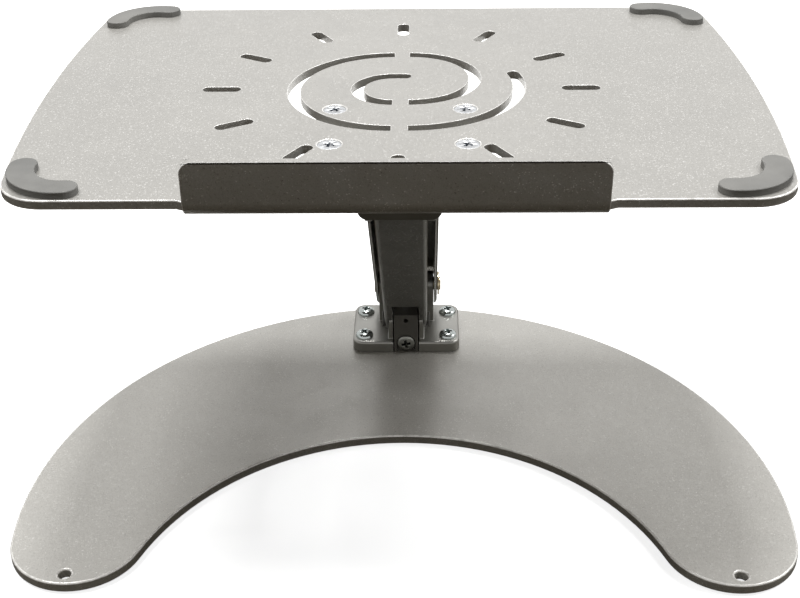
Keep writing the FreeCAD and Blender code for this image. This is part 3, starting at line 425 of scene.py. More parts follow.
@dataclass(frozen=True)
class FlakeCoat:
    """A metallic powder coat: base, flakes, mottle, worn edges with a painted highlight, dust."""

    name: str
    slot: str
    base: Colour
    bright: Colour
    dark: Colour
    flake_scale: float = 2300.0
    bright_share: float = 0.07
    grain: float = 0.5
    mottle: float = 0.12
    metallic: float = 0.32
    roughness: float = 0.33
    # Share of the bright colour on the rounded edges: worn coat and a painted highlight.
    edge: float = 0.8
    dust: float = 0.06
    marks: float = 0.08
    skin_height: float = 0.06 * MM
    skin: float = 0.25

    def material(self) -> bpy.types.Material:
        """Builds the finish's material."""
        material, tree, shader = new_material(self.name)
        flakes = place_effect(tree, Effect.FLAKE, Base=self.base, Bright=self.bright, Dark=self.dark,
                              Flake_Scale=self.flake_scale, Bright_Share=self.bright_share,
                              Grain=self.grain, Mottle=self.mottle, Roughness=self.roughness)
        colour = handled(tree, shader, flakes.outputs["Colour"], flakes.outputs["Roughness"], self.dust,
                         self.marks)
        # The rounded edges take the bright colour: worn coat and a painted highlight.
        wear_and_highlight_edges(tree, shader, colour, self.bright, self.edge)
        shader.inputs["Metallic"].default_value = self.metallic
        raise_normal(tree, shader, flakes.outputs["Height"], self.skin_height, self.skin)
        return material


@dataclass(frozen=True)
class SatinPaint:
    """A plain satin paint over a casting or pressed sheet, with a soft orange-peel skin and, where a side
    colour is given, painted shade on the faces that don't look up.
    """

    name: str
    slot: str
    base: Colour
    dark: Colour
    roughness: float = 0.45
    metallic: float = 0.0
    edge: float = 0.25
    edge_colour: Colour = (0.4, 0.4, 0.38)
    # Painted shade: faces that don't look up take this darker side colour; the span after it is the
    # normal's height over which the lit colour takes over.
    shaded_side_colour: Colour | None = None
    lit_upward: tuple[float, float] = (0.25, 0.85)
    dust: float = 0.08
    marks: float = 0.1
    skin_scale: float = 420.0
    skin_detail: float = 2.0
    skin_height: float = 0.1 * MM
    skin: float = 0.3

    def material(self) -> bpy.types.Material:
        """Builds the finish's material."""
        material, tree, shader = new_material(self.name)
        coordinates = tree.nodes.new("ShaderNodeTexCoord")
        place = coordinates.outputs["Object"]
        colour = mixed(tree, PAINT_TONE.share(tree, place), self.base, self.dark)
        # Painted shade: the darker side colour on faces that look sideways or down, the lit colour on faces
        # that look up.
        if self.shaded_side_colour:
            facing = tree.nodes.new("ShaderNodeSeparateXYZ")
            link(tree, coordinates.outputs["Normal"], facing.inputs["Vector"])
            colour = mixed(tree, span(tree, facing.outputs["Z"], *self.lit_upward), self.shaded_side_colour, colour)
        colour = handled(tree, shader, colour, self.roughness, self.dust, self.marks)
        wear_and_highlight_edges(tree, shader, colour, self.edge_colour, self.edge)
        shader.inputs["Metallic"].default_value = self.metallic
        skin = noise(tree, place, self.skin_scale, self.skin_detail)
        raise_normal(tree, shader, skin, self.skin_height, self.skin)
        return material


@dataclass(frozen=True)
class MouldedRubber:
    """Matt rubber or nylon with a spark-eroded skin."""

    name: str
    slot: str
    base: Colour
    light: Colour
    roughness: float = 0.75
    specular: float = 0.35
    dust: float = 0.15
    marks: float = 0.12
    skin_scale: float = 1500.0
    skin_detail: float = 3.0
    skin_height: float = 0.08 * MM
    skin: float = 0.35

    def material(self) -> bpy.types.Material:
        """Builds the finish's material."""
        material, tree, shader = new_material(self.name)
        place = object_place(tree)
        colour = mixed(tree, RUBBER_TONE.share(tree, place), self.base, self.light)
        colour = handled(tree, shader, colour, self.roughness, self.dust, self.marks)
        link(tree, colour, shader.inputs["Base Color"])
        shader.inputs["Specular IOR Level"].default_value = self.specular
        skin = noise(tree, place, self.skin_scale, self.skin_detail)
        raise_normal(tree, shader, skin, self.skin_height, self.skin)
        return material


@dataclass(frozen=True)
class PlatedMetal:
    """Bare, plated or passivated metal with fine turning rings, stains and painted shade in a recess."""

    name: str
    slot: str
    base: Colour
    stain: Colour
    roughness: float = 0.25
    rings: float = 0.2
    tone: float = 0.5
    # The colour of the painted shade in a screw's cross recess.
    recess: Colour = (0.06, 0.08, 0.075)
    dust: float = 0.03
    marks: float = 0.15
    ring_scale: float = 1400.0
    ring_height: float = 0.04 * MM

    def material(self) -> bpy.types.Material:
        """Builds the finish's material."""
        material, tree, shader = new_material(self.name)
        turned = place_effect(tree, Effect.TURNED, Scale=self.ring_scale, Tone=self.tone)
        colour = mixed(tree, turned.outputs["Tone"], self.base, self.stain)
        # Painted shade: faces inside the cross recess take the recess colour.
        recess = tree.nodes.new("ShaderNodeAttribute")
        recess.attribute_name = "recess"
        colour = mixed(tree, recess.outputs["Fac"], colour, self.recess)
        colour = handled(tree, shader, colour, self.roughness, self.dust, self.marks)
        link(tree, colour, shader.inputs["Base Color"])
        shader.inputs["Metallic"].default_value = 1.0
        raise_normal(tree, shader, turned.outputs["Height"], self.ring_height, self.rings)
        return material


Finish = FlakeCoat | SatinPaint | MouldedRubber | PlatedMetal

SILVER = FlakeCoat("silver_coat", "silver_powder_coat", (0.53, 0.52, 0.49), (0.9, 0.89, 0.86),
                   (0.36, 0.352, 0.33))
# The tray coat's full edge share paints a bright highlight along the tray's rounded edges.
SILVER_TRAY = FlakeCoat("tray_coat", "silver_powder_coat", (0.395, 0.387, 0.366), (0.9, 0.89, 0.87),
                        (0.26, 0.255, 0.24), bright_share=0.05, edge=1.0)
# A darker copy of the silver coat: partly real dark grey paint, partly painted shade from the tray above;
# its light edge colour paints a highlight on the bends.
SILVER_ARM = FlakeCoat("arm_coat", "silver_powder_coat", (0.16, 0.157, 0.143), (0.6, 0.59, 0.56),
                       (0.13, 0.127, 0.115), bright_share=0.03, grain=0.25, metallic=0.85, edge=0.75)
# The bracket's side colour is painted shade on its front and side faces; its tops keep the lit colour.
BRACKET = SatinPaint("bracket_paint", "grey_bracket_paint", (0.39, 0.385, 0.36), (0.33, 0.325, 0.305),
                     roughness=0.34, metallic=0.85, edge_colour=(0.3, 0.3, 0.28),
                     shaded_side_colour=(0.16, 0.156, 0.138))
# A darker copy of the bracket paint: painted shade on the nose block, which faces the user.
SHADED_BLOCK = SatinPaint("shaded_block_paint", "grey_bracket_paint", (0.075, 0.07, 0.058), (0.055, 0.052, 0.044),
                   edge_colour=(0.2, 0.19, 0.17))
DARK_PIN = SatinPaint("pin_paint", "grey_bracket_paint", (0.08, 0.08, 0.075), (0.06, 0.06, 0.055))
RUBBER = MouldedRubber("rubber_pad", "grey_rubber", (0.165, 0.165, 0.159), (0.19, 0.19, 0.184))
NYLON = MouldedRubber("nylon", "nylon_bush", (0.03, 0.03, 0.03), (0.05, 0.05, 0.05), roughness=0.5)
ZINC = PlatedMetal("zinc_plate", "zinc_fastener", (0.5, 0.53, 0.52), (0.26, 0.3, 0.28), roughness=0.2)
TRAY_ZINC = PlatedMetal("tray_screw_plate", "zinc_fastener", (0.5, 0.51, 0.52), (0.4, 0.4, 0.41),
                        roughness=0.45, recess=(0.2, 0.22, 0.25))
# A darker copy of the zinc plating: painted shade on the tension screw at the nose's front; its near-black
# recess is painted shade too.
SHADED_ZINC = PlatedMetal("shaded_zinc_plate", "zinc_fastener", (0.2, 0.2, 0.18), (0.11, 0.11, 0.1),
                        roughness=0.22, recess=(0.02, 0.02, 0.018))
YELLOW = PlatedMetal("yellow_passivate", "turned_steel", (0.62, 0.52, 0.33), (0.42, 0.4, 0.36),
                     roughness=0.3)
STEEL = PlatedMetal("turned_steel", "turned_steel", (0.55, 0.54, 0.51), (0.4, 0.39, 0.37), roughness=0.32)
SPRING_BLACK = SatinPaint("spring_paint", "black_spring_paint", (0.03, 0.03, 0.03), (0.022, 0.022, 0.022),
                          roughness=0.32, edge_colour=(0.1, 0.1, 0.1))
CHROME = PlatedMetal("ground_chrome", "chromed_rod", (0.77, 0.78, 0.8), (0.7, 0.7, 0.72),
                     roughness=0.1, rings=0.06, tone=0.2)
MADE: dict[str, bpy.types.Material] = {}


def finish_material(finish: Finish) -> bpy.types.Material:
    """Returns the finish's material, built on first use."""
    if finish.name not in MADE:
        MADE[finish.name] = finish.material()
    return MADE[finish.name]


# ---------------------------------------------------------------- Mesh helpers
EdgeShare = Callable[[Vector, Vector], float]


def new_piece(name: str, mesh: bpy.types.Mesh) -> Piece:
    """Puts a mesh in the scene as a piece at the origin."""
    piece = bpy.data.objects.new(name, mesh)
    bpy.context.scene.collection.objects.link(piece)
    return piece


def settle(piece: Piece) -> None:
    """Turns a piece's modifiers into a plain mesh."""
    bpy.context.view_layer.update()
    graph = bpy.context.evaluated_depsgraph_get()
    mesh = bpy.data.meshes.new_from_object(piece.evaluated_get(graph), depsgraph=graph)
    piece.modifiers.clear()
    piece.data = mesh


def closed_mesh(shape: bmesh.types.BMesh, name: str, smooth: bool) -> bpy.types.Mesh:
    """Turns a closed shape into a mesh and frees the shape.

    Args:
        shape: The shape.
        name: The mesh's name.
        smooth: Whether its faces are smooth-shaded.

    Returns:
        The mesh, with its faces pointing out.
    """
    bmesh.ops.recalc_face_normals(shape, faces=shape.faces)
    for face in shape.faces:
        face.smooth = smooth
    mesh = bpy.data.meshes.new(name)
    shape.to_mesh(mesh)
    shape.free()
    return mesh


def seat(piece: Piece, body: str, finish: Finish, *nodes: str) -> None:
    """Finishes a piece and gives it to the frame.

    Args:
        piece: The piece, with its place in its mesh.
        body: The body that it rides on.
        finish: Its finish.
        nodes: The frame's nodes that it stands for.
    """
    if not piece.data.materials:
        piece.data.materials.append(finish_material(finish))
    else:
        piece.data.materials[0] = finish_material(finish)
    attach(piece, body)
    if nodes:
        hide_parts(*nodes)
    LOG.info("%s rides on %s: %d faces, stands for %s", piece.name, body, len(piece.data.polygons),
             ", ".join(nodes) or "nothing")


def dress_nodes(finish: Finish, *nodes: str) -> None:
    """Gives nodes of the frame that stay in view their finish."""
    for node in nodes:
        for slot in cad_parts[node].material_slots:
            slot.material = finish_material(finish)
        LOG.info("%s stays, in %s", node, finish.name)


def weighted_mesh(node: str, share: EdgeShare | None) -> bpy.types.Mesh:
    """Copies a node's mesh, joins its flat faces and weights its sharp edges for rounding.

    Args:
        node: The frame's node.
        share: What share of the rounding an edge takes, or None for all of it everywhere.

    Returns:
        The mesh, with two empty material slots.
    """
    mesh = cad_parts[node].data.copy()
    shape = bmesh.new()
    shape.from_mesh(mesh)
    bmesh.ops.remove_doubles(shape, verts=shape.verts, dist=SEAM)
    bmesh.ops.dissolve_degenerate(shape, edges=shape.edges, dist=SLIVER)
    bmesh.ops.dissolve_limit(shape, angle_limit=FLAT_ANGLE, verts=shape.verts, edges=shape.edges)
    for face in shape.faces:
        face.smooth = True
        face.material_index = 0
    weights = shape.edges.layers.float.new("bevel_weight_edge")
    for edge in shape.edges:
        if len(edge.link_faces) == 2 and edge.calc_face_angle() > SHARP_ANGLE:
            start, end = (vertex.co for vertex in edge.verts)
            edge[weights] = share((start + end) / 2, (end - start).normalized()) if share else 1.0
    shape.to_mesh(mesh)
    shape.free()
    for name in [a.name for a in mesh.attributes if a.name.startswith("custom_normal")]:
        mesh.attributes.remove(mesh.attributes[name])
    mesh.materials.clear()
    mesh.materials.append(None)
    mesh.materials.append(None)
    mesh.set_sharp_from_angle(angle=SHARP_ANGLE)
    return mesh


def seat_copy(node: str, width: float, body: str, finish: Finish, segments: int = 3,
              share: EdgeShare | None = None) -> None:
    """Rounds the sharp edges of a node's copy and seats it in the node's place.

    The rounded strips are marked in the face attribute "rim", so that a finish can paint wear and a
    highlight there.

    Args:
        node: The frame's node.
        width: How far the rounding reaches from an edge.
        body: The body that the copy rides on.
        finish: Its finish.
        segments: How many faces make a rounding.
        share: What share of the width an edge takes, from its middle and its direction.
    """
    piece = new_piece("dressed_" + node, weighted_mesh(node, share))
    bevel = piece.modifiers.new("rounding", "BEVEL")
    bevel.width, bevel.segments, bevel.material = width, segments, 1
    bevel.limit_method, bevel.miter_outer = "WEIGHT", "MITER_ARC"
    bevel.use_clamp_overlap, bevel.harden_normals = False, True
    settle(piece)
    rim = piece.data.attributes.new("rim", "FLOAT", "FACE")
    rim.data.foreach_set("value", [float(p.material_index) for p in piece.data.polygons])
    for polygon in piece.data.polygons:
        polygon.material_index = 0
    piece.data.materials.clear()
    seat(piece, body, finish, node)


def lathe(profile: Sequence[tuple[float, float]], sides: int = 48) -> bpy.types.Mesh:
    """Turns a profile about Z into a closed mesh.

    Args:
        profile: Radius and height of each step, from the pole below to the pole above.
        sides: How many sides the turned shape has.

    Returns:
        The closed mesh, with its faces pointing out.
    """
    shape = bmesh.new()
    rings: list[list[bmesh.types.BMVert]] = []
    for radius, height in profile:
        if radius <= 0:
            rings.append([shape.verts.new((0, 0, height))])
            continue
        rings.append([shape.verts.new((radius * math.cos(math.tau * k / sides),
                                       radius * math.sin(math.tau * k / sides), height))
                      for k in range(sides)])
    for low, high in zip(rings, rings[1:]):
        for k in range(sides):
            corners = [low[k % len(low)], low[(k + 1) % len(low)], high[(k + 1) % len(high)],
                       high[k % len(high)]]
            shape.faces.new(list(dict.fromkeys(corners)))
    return closed_mesh(shape, "turned", True)


@dataclass(frozen=True)
class CrossRecess:
    """A cross recess: its span at the top, its arms' width there and its depth."""

    span: float
    width: float
    depth: float

    def bar(self, top: float) -> Piece:
        """Makes one arm: a bar that narrows downwards and stands a little out of the top."""
        overshoot, flared, narrowed, width_taper = 1.0 * MM, 1.15, 0.45, 0.45
        shape = bmesh.new()
        corners = []
        for height, share in ((top + overshoot, flared), (top - self.depth, narrowed)):
            half_long = self.span * share / 2
            half_wide = self.width * (1 - width_taper + width_taper * share) / 2
            for x, y in ((-1, -1), (1, -1), (1, 1), (-1, 1)):
                corners.append(shape.verts.new((x * half_long, y * half_wide, height)))
        for quad in ((0, 1, 2, 3), (7, 6, 5, 4), (0, 4, 5, 1), (1, 5, 6, 2), (2, 6, 7, 3), (3, 7, 4, 0)):
            shape.faces.new([corners[k] for k in quad])
        return new_piece("bar", closed_mesh(shape, "bar", False))

    def cut(self, head: Piece, top: float) -> None:
        """Cuts the recess into a screw head and marks its faces in the attribute "recess", where the finish
        paints shade.

        Args:
            head: The head, about Z at the origin.
            top: The height of the head's top.
        """
        bars = [self.bar(top), self.bar(top)]
        bars[1].data.transform(Matrix.Rotation(math.pi / 2, 4, "Z"))
        for bar in bars:
            cutter = head.modifiers.new("recess", "BOOLEAN")
            cutter.operation, cutter.solver, cutter.object = "DIFFERENCE", "EXACT", bar
        settle(head)
        for bar in bars:
            bpy.data.objects.remove(bar)
        # Faces inside the recess are marked for the finish's painted shade.
        highest, lowest = top - 0.25 * self.depth, top - 1.2 * self.depth
        centres = [polygon.center for polygon in head.data.polygons]
        inside = [float(lowest < c.z < highest and c.xy.length < self.span / 2) for c in centres]
        head.data.attributes.new("recess", "FLOAT", "FACE").data.foreach_set("value", inside)


def island_centres(node: str) -> list[Vector]:
    """Finds the middle of each separate solid of a node.

    Args:
        node: The frame's node.

    Returns:
        The centre of each solid's box, by X then Y.
    """
    shape = bmesh.new()
    shape.from_mesh(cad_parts[node].data)
    bmesh.ops.remove_doubles(shape, verts=shape.verts, dist=SEAM)
    seen: set[int] = set()
    centres = []
    for start in shape.verts:
        if start.index in seen:
            continue
        stack, members = [start], []
        seen.add(start.index)
        while stack:
            vertex = stack.pop()
            members.append(vertex.co.copy())
            for edge in vertex.link_edges:
                other = edge.other_vert(vertex)
                if other.index not in seen:
                    seen.add(other.index)
                    stack.append(other)
        low = Vector([min(c[k] for c in members) for k in range(3)])
        high = Vector([max(c[k] for c in members) for k in range(3)])
        centres.append((low + high) / 2)
    shape.free()
    return sorted(centres, key=lambda c: (round(c.x, 4), c.y))


# ---------------------------------------------------------------- Geometry Nodes
def repeat_tree() -> Tree:
    """Builds the tree that sets one part at every point of a set.

    Returns:
        The tree, with the inputs Points, Part, Turn, Seed and Finish.
    """
    tree = bpy.data.node_groups.new("set_at_points", "GeometryNodeTree")
    face = tree.interface
    face.new_socket("Points", in_out="INPUT", socket_type="NodeSocketGeometry")
    for name, kind in (("Part", "NodeSocketObject"), ("Turn", FLOAT), ("Seed", "NodeSocketInt"),
                       ("Finish", "NodeSocketMaterial")):
        face.new_socket(name, in_out="INPUT", socket_type=kind)
    face.new_socket("Pieces", in_out="OUTPUT", socket_type="NodeSocketGeometry")
    start, end = tree.nodes.new("NodeGroupInput"), tree.nodes.new("NodeGroupOutput")
    part = tree.nodes.new("GeometryNodeObjectInfo")
    link(tree, start.outputs["Part"], part.inputs["Object"])
    turn = tree.nodes.new("FunctionNodeRandomValue")
    turn.data_type = "FLOAT"
    link(tree, start.outputs["Turn"], turn.inputs[3])
    link(tree, start.outputs["Seed"], turn.inputs["Seed"])
    spin = tree.nodes.new("ShaderNodeCombineXYZ")
    link(tree, turn.outputs[1], spin.inputs["Z"])
    instances = tree.nodes.new("GeometryNodeInstanceOnPoints")
    link(tree, start.outputs["Points"], instances.inputs["Points"])
    link(tree, part.outputs["Geometry"], instances.inputs["Instance"])
    link(tree, spin.outputs[0], instances.inputs["Rotation"])
    real = tree.nodes.new("GeometryNodeRealizeInstances")
    link(tree, instances.outputs[0], real.inputs[0])
    paint = tree.nodes.new("GeometryNodeSetMaterial")
    link(tree, real.outputs[0], paint.inputs["Geometry"])
    link(tree, start.outputs["Finish"], paint.inputs["Material"])
    link(tree, paint.outputs[0], end.inputs[0])
    return tree


def seat_set(name: str, part: Piece, node: str, height: float, body: str, finish: Finish,
             turn: float = 0.0, seed: int = 1) -> None:
    """Sets one part at each solid of a node, as one plain mesh in the node's place.

    Args:
        name: The new piece's name.
        part: The part, about the origin, which is removed afterwards.
        node: The frame's node.
        height: The height of the part's origin.
        body: The body that the piece rides on.
        finish: Its finish.
        turn: The largest turn about Z, in radians, that each part gets at random.
        seed: The seed of those turns.
    """
    tree = bpy.data.node_groups.get("set_at_points") or repeat_tree()
    mesh = bpy.data.meshes.new(name)
    mesh.from_pydata([(centre.x, centre.y, height) for centre in island_centres(node)], [], [])
    piece = new_piece(name, mesh)
    modifier = piece.modifiers.new("layout", "NODES")
    modifier.node_group = tree
    sockets = {item.name: item.identifier for item in tree.interface.items_tree if item.in_out == "INPUT"}
    for label, value in (("Part", part), ("Turn", turn), ("Seed", seed),
                         ("Finish", finish_material(finish))):
        modifier[sockets[label]] = value
    settle(piece)
    bpy.data.objects.remove(part)
    seat(piece, body, finish, node)


# ---------------------------------------------------------------- Sub-assemblies
@dataclass
class Foundation:
    """The crescent plate, its feet, the screwed bracket, its pins and the tension block."""

    plate_edge: float = 1.0 * MM
    bracket_edge: float = 0.5 * MM
    block_edge: float = 0.35 * MM
    foot_radius: float = 8.0 * MM
    foot_height: float = 1.0 * MM
    head_radius: float = 5.25 * MM
    head_height: float = 3.3 * MM
    head_flank: float = 0.9 * MM
    head_sunk: float = 0.4 * MM
    recess: CrossRecess = CrossRecess(5.4 * MM, 1.5 * MM, 2.2 * MM)
    body: str = "base"

    def foot(self) -> Piece:
        """Makes one rubber foot with a rounded rim and a shallow dish below."""
        r, h = self.foot_radius, self.foot_height
        mesh = lathe([(0, 0.25 * h), (r * 0.55, 0.25 * h), (r * 0.62, 0), (r * 0.93, 0),
                      (r * 0.98, 0.15 * h), (r, 0.4 * h), (r, h), (0, h)], 40)
        return new_piece("foot", mesh)

    def screw(self) -> Piece:
        """Makes one pan-head screw with a cross recess."""
        r, h, flank, sunk = self.head_radius, self.head_height, self.head_flank, self.head_sunk
        dome_radius, fullness = r * 0.985, 0.8
        profile = [(0, -sunk), (r * 0.93, -sunk), (r * 0.99, 0.05 * MM), (r, 0.5 * MM),
                   (dome_radius, flank)]
        for step in range(1, 10):
            turn = math.radians(8 + step * 8.2)
            profile.append((dome_radius * math.cos(turn) ** fullness, flank + (h - flank) * math.sin(turn)))
        profile.append((0, h))
        head = new_piece("pan_head", lathe(profile))
        self.recess.cut(head, h)
        return head

    def build(self) -> None:
        """Builds and seats the base's pieces."""
        seat_copy("base_plate", self.plate_edge, self.body, SILVER, 4)
        seat_copy("base_bracket", self.bracket_edge, self.body, BRACKET)
        seat_copy("tension_block", self.block_edge, self.body, SHADED_BLOCK)
        seat_set("rubber_feet", self.foot(), "base_feet", 0.0, self.body, RUBBER)
        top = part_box("bracket_screws")[1].z - self.head_height
        seat_set("bracket_screw_heads", self.screw(), "bracket_screws", top, self.body, ZINC, math.pi, 7)

    def dress(self) -> None:
        """Finishes the lower pins, their ring and the gas spring's anchor."""
        seat_copy("front_lower_pin", PIN_EDGE, self.body, DARK_PIN)
        seat_copy("rear_lower_pin", LARGE_PIN_EDGE, self.body, YELLOW)
        seat_copy("rear_lower_ring", RING_EDGE, self.body, YELLOW, 2)
        dress_nodes(STEEL, "spring_carriage", "spring_anchor_pin")


@dataclass
class Adjuster:
    """The tension screw in the nose, with a domed head and a cross recess."""

    shank_radius: float = 3.0 * MM
    head_length: float = 4.5 * MM
    recess: CrossRecess = CrossRecess(6.0 * MM, 1.7 * MM, 2.4 * MM)
    thread_pitch: float = 1.0 * MM
    dome_height: float = 1.6 * MM
    recess_turn: float = 12.0
    body: str = "adjuster"

    def build(self) -> None:
        """Builds the screw upright, turns it to face the user and seats it."""
        low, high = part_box("tension_screw")
        head = (high.x - low.x) / 2
        length, rim = high.y - low.y, self.head_length
        shank, pitch, dome = self.shank_radius, self.thread_pitch, self.dome_height
        root, fullness = shank * 0.86, 0.7
        profile = [(0, 0), (shank * 0.8, 0)]
        for turn in range(int((length - rim) / pitch) - 1):
            start = (turn + 0.3) * pitch
            profile += [(root, start), (shank, start + 0.35 * pitch), (shank, start + 0.5 * pitch),
                        (root, start + 0.85 * pitch)]
        profile += [(shank, length - rim), (head * 0.96, length - rim), (head, length - rim + 0.3 * MM),
                    (head, length - dome)]
        for step in range(1, 8):
            angle = math.radians(step * 11.0)
            profile.append((head * math.cos(angle) ** fullness, length - dome + dome * math.sin(angle)))
        profile.append((0, length))
        screw = new_piece("tension_screw_turned", lathe(profile))
        self.recess.cut(screw, length)
        turned = Matrix.Rotation(math.radians(self.recess_turn), 4, "Z")
        upright = Matrix.Rotation(math.pi / 2, 4, "X") @ turned
        upright.translation = Vector(((low.x + high.x) / 2, high.y, (low.z + high.z) / 2))
        screw.data.transform(upright)
        seat(screw, self.body, SHADED_ZINC, "tension_screw")


@dataclass
class Arm:
    """The two pressed links with their bushes, and what rides on the rear one."""

    sheet_edge: float = 0.3 * MM
    bend_radius: float = 1.7 * MM
    reach_play: float = 0.2 * MM
    least_lengthwise: float = 0.95

    def bends(self, name: str, pins: tuple[str, str], side: float) -> EdgeShare:
        """Tells a channel's two long outer bends from its cut edges.

        Args:
            name: The link.
            pins: The nodes of its lower and upper pins.
            side: -1 for a web towards the user, 1 for a web away from the user.

        Returns:
            A function that gives an edge's share: all of it at the bends, the sheet's edge elsewhere.
        """
        low, high = (sum(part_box(pin), Vector()) / 2 for pin in pins)
        along = Vector((0.0, high.y - low.y, high.z - low.z)).normalized()
        outward = Vector((0.0, along.z, -along.y)) * side
        points = [vertex.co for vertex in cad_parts[name].data.vertices]
        reach = max(point.dot(outward) for point in points) - self.reach_play
        half = max(point.x for point in points) - self.reach_play

        def share(middle: Vector, direction: Vector) -> float:
            at_bend = middle.dot(outward) > reach and abs(middle.x) > half
            lengthwise = abs(direction.dot(along)) > self.least_lengthwise
            return 1.0 if at_bend and lengthwise else self.sheet_edge / self.bend_radius

        return share

    def build(self) -> None:
        """Builds and seats the links."""
        for name, pins, side in (("front_link", ("front_lower_pin", "front_upper_pin"), -1.0),
                                 ("rear_link", ("rear_lower_pin", "rear_upper_pin"), 1.0)):
            seat_copy(name, self.bend_radius, name, SILVER_ARM, 4, self.bends(name, pins, side))

    def dress(self) -> None:
        """Finishes the bushes, the spring's upper pin and its spacers."""
        dress_nodes(NYLON, "front_link_bushes", "rear_link_bushes", "spring_spacers")
        dress_nodes(STEEL, "spring_upper_pin")


@dataclass
class GasSpring:
    """The gas spring between the links."""

    tube_edge: float = 0.6 * MM
    eye_edge: float = 0.4 * MM

    def dress(self) -> None:
        """Finishes the tube with its gland, the rod with its piston, and their eyes."""
        seat_copy("spring_tube", self.tube_edge, "spring_tube", SPRING_BLACK, 4)
        seat_copy("spring_top_eye", self.eye_edge, "spring_tube", SPRING_BLACK)
        seat_copy("spring_rod_eye", self.eye_edge, "spring_rod", SPRING_BLACK)
        dress_nodes(NYLON, "spring_gland")
        dress_nodes(CHROME, "spring_rod")
        dress_nodes(STEEL, "spring_piston")


@dataclass
class Head:
    """The head bracket, the tray, its screws and its rubber pads."""

    bracket_edge: float = 0.5 * MM
    tray_edge: float = 0.7 * MM
    vent_edge: float = 0.25 * MM
    notch_edge: float = 0.4 * MM
    vents_from: tuple[float, float] = (-0.125, -0.105)
    vents_to: tuple[float, float] = (0.125, 0.105)
    lip_half: float = 0.0836
    notch_reach: float = 0.006
    head_radius: float = 5.5 * MM
    recess: CrossRecess = CrossRecess(5.6 * MM, 1.5 * MM, 1.9 * MM)
    head_depth: float = 3.0 * MM
    head_sunk: float = 0.25 * MM
    crown: float = 0.05 * MM
    body: str = "head"

    def screw(self) -> Piece:
        """Makes one countersunk screw head with a cross recess, its top at the origin's height."""
        r, low, crown = self.head_radius, -self.head_depth, self.crown
        mesh = lathe([(0, low), (r * 0.5, low), (r * 0.97, -0.55 * MM), (r, -0.35 * MM),
                      (r * 0.96, -0.08 * MM), (r * 0.88, 0.0), (0, crown)])
        head = new_piece("flat_head", mesh)
        self.recess.cut(head, crown)
        return head

    def edge_share(self, middle: Vector, direction: Vector) -> float:
        """Rounds the tray's outline most, the notches beside its lip less and its vents least.

        Args:
            middle: The middle of an edge.
            direction: The edge's direction, which makes no difference here.

        Returns:
            The share of tray_edge that the edge takes.
        """
        (west, south), (east, north) = self.vents_from, self.vents_to
        if west < middle.x < east and south < middle.y < north:
            return self.vent_edge / self.tray_edge
        if abs(abs(middle.x) - self.lip_half) < self.notch_reach:
            return self.notch_edge / self.tray_edge
        return 1.0

    def build(self) -> None:
        """Builds and seats the head's pieces."""
        seat_copy("head_bracket", self.bracket_edge, self.body, BRACKET)
        seat_copy("tray", self.tray_edge, self.body, SILVER_TRAY, share=self.edge_share)
        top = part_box("tray_screws")[1].z - self.head_sunk
        seat_set("tray_screw_heads", self.screw(), "tray_screws", top, self.body, TRAY_ZINC, math.pi, 3)

    def dress(self) -> None:
        """Finishes the rubber pads, the upper pins and their ring."""
        dress_nodes(RUBBER, *(f"corner_pad_{end}_{side}" for end in ("front", "rear")
                              for side in ("left", "right")))
        seat_copy("front_upper_pin", PIN_EDGE, self.body, STEEL)
        seat_copy("rear_upper_pin", LARGE_PIN_EDGE, self.body, YELLOW)
        seat_copy("rear_upper_ring", RING_EDGE, self.body, YELLOW, 2)


# ---------------------------------------------------------------- Studio
@dataclass(frozen=True)
class Lamp:
    """A soft square lamp: where it hangs, what it faces, its side in metres and its power in watts."""

    name: str
    place: Point
    aim: Point
    size: float
    power: float

    def hang(self) -> None:
        """Hangs the lamp in the scene."""
        data = bpy.data.lights.new(self.name, "AREA")
        data.shape, data.size, data.energy = "SQUARE", self.size, self.power
        lamp = bpy.data.objects.new(self.name, data)
        lamp.location = self.place
        lamp.rotation_euler = (Vector(self.aim) - Vector(self.place)).to_track_quat("-Z", "Y").to_euler()
        bpy.context.scene.collection.objects.link(lamp)


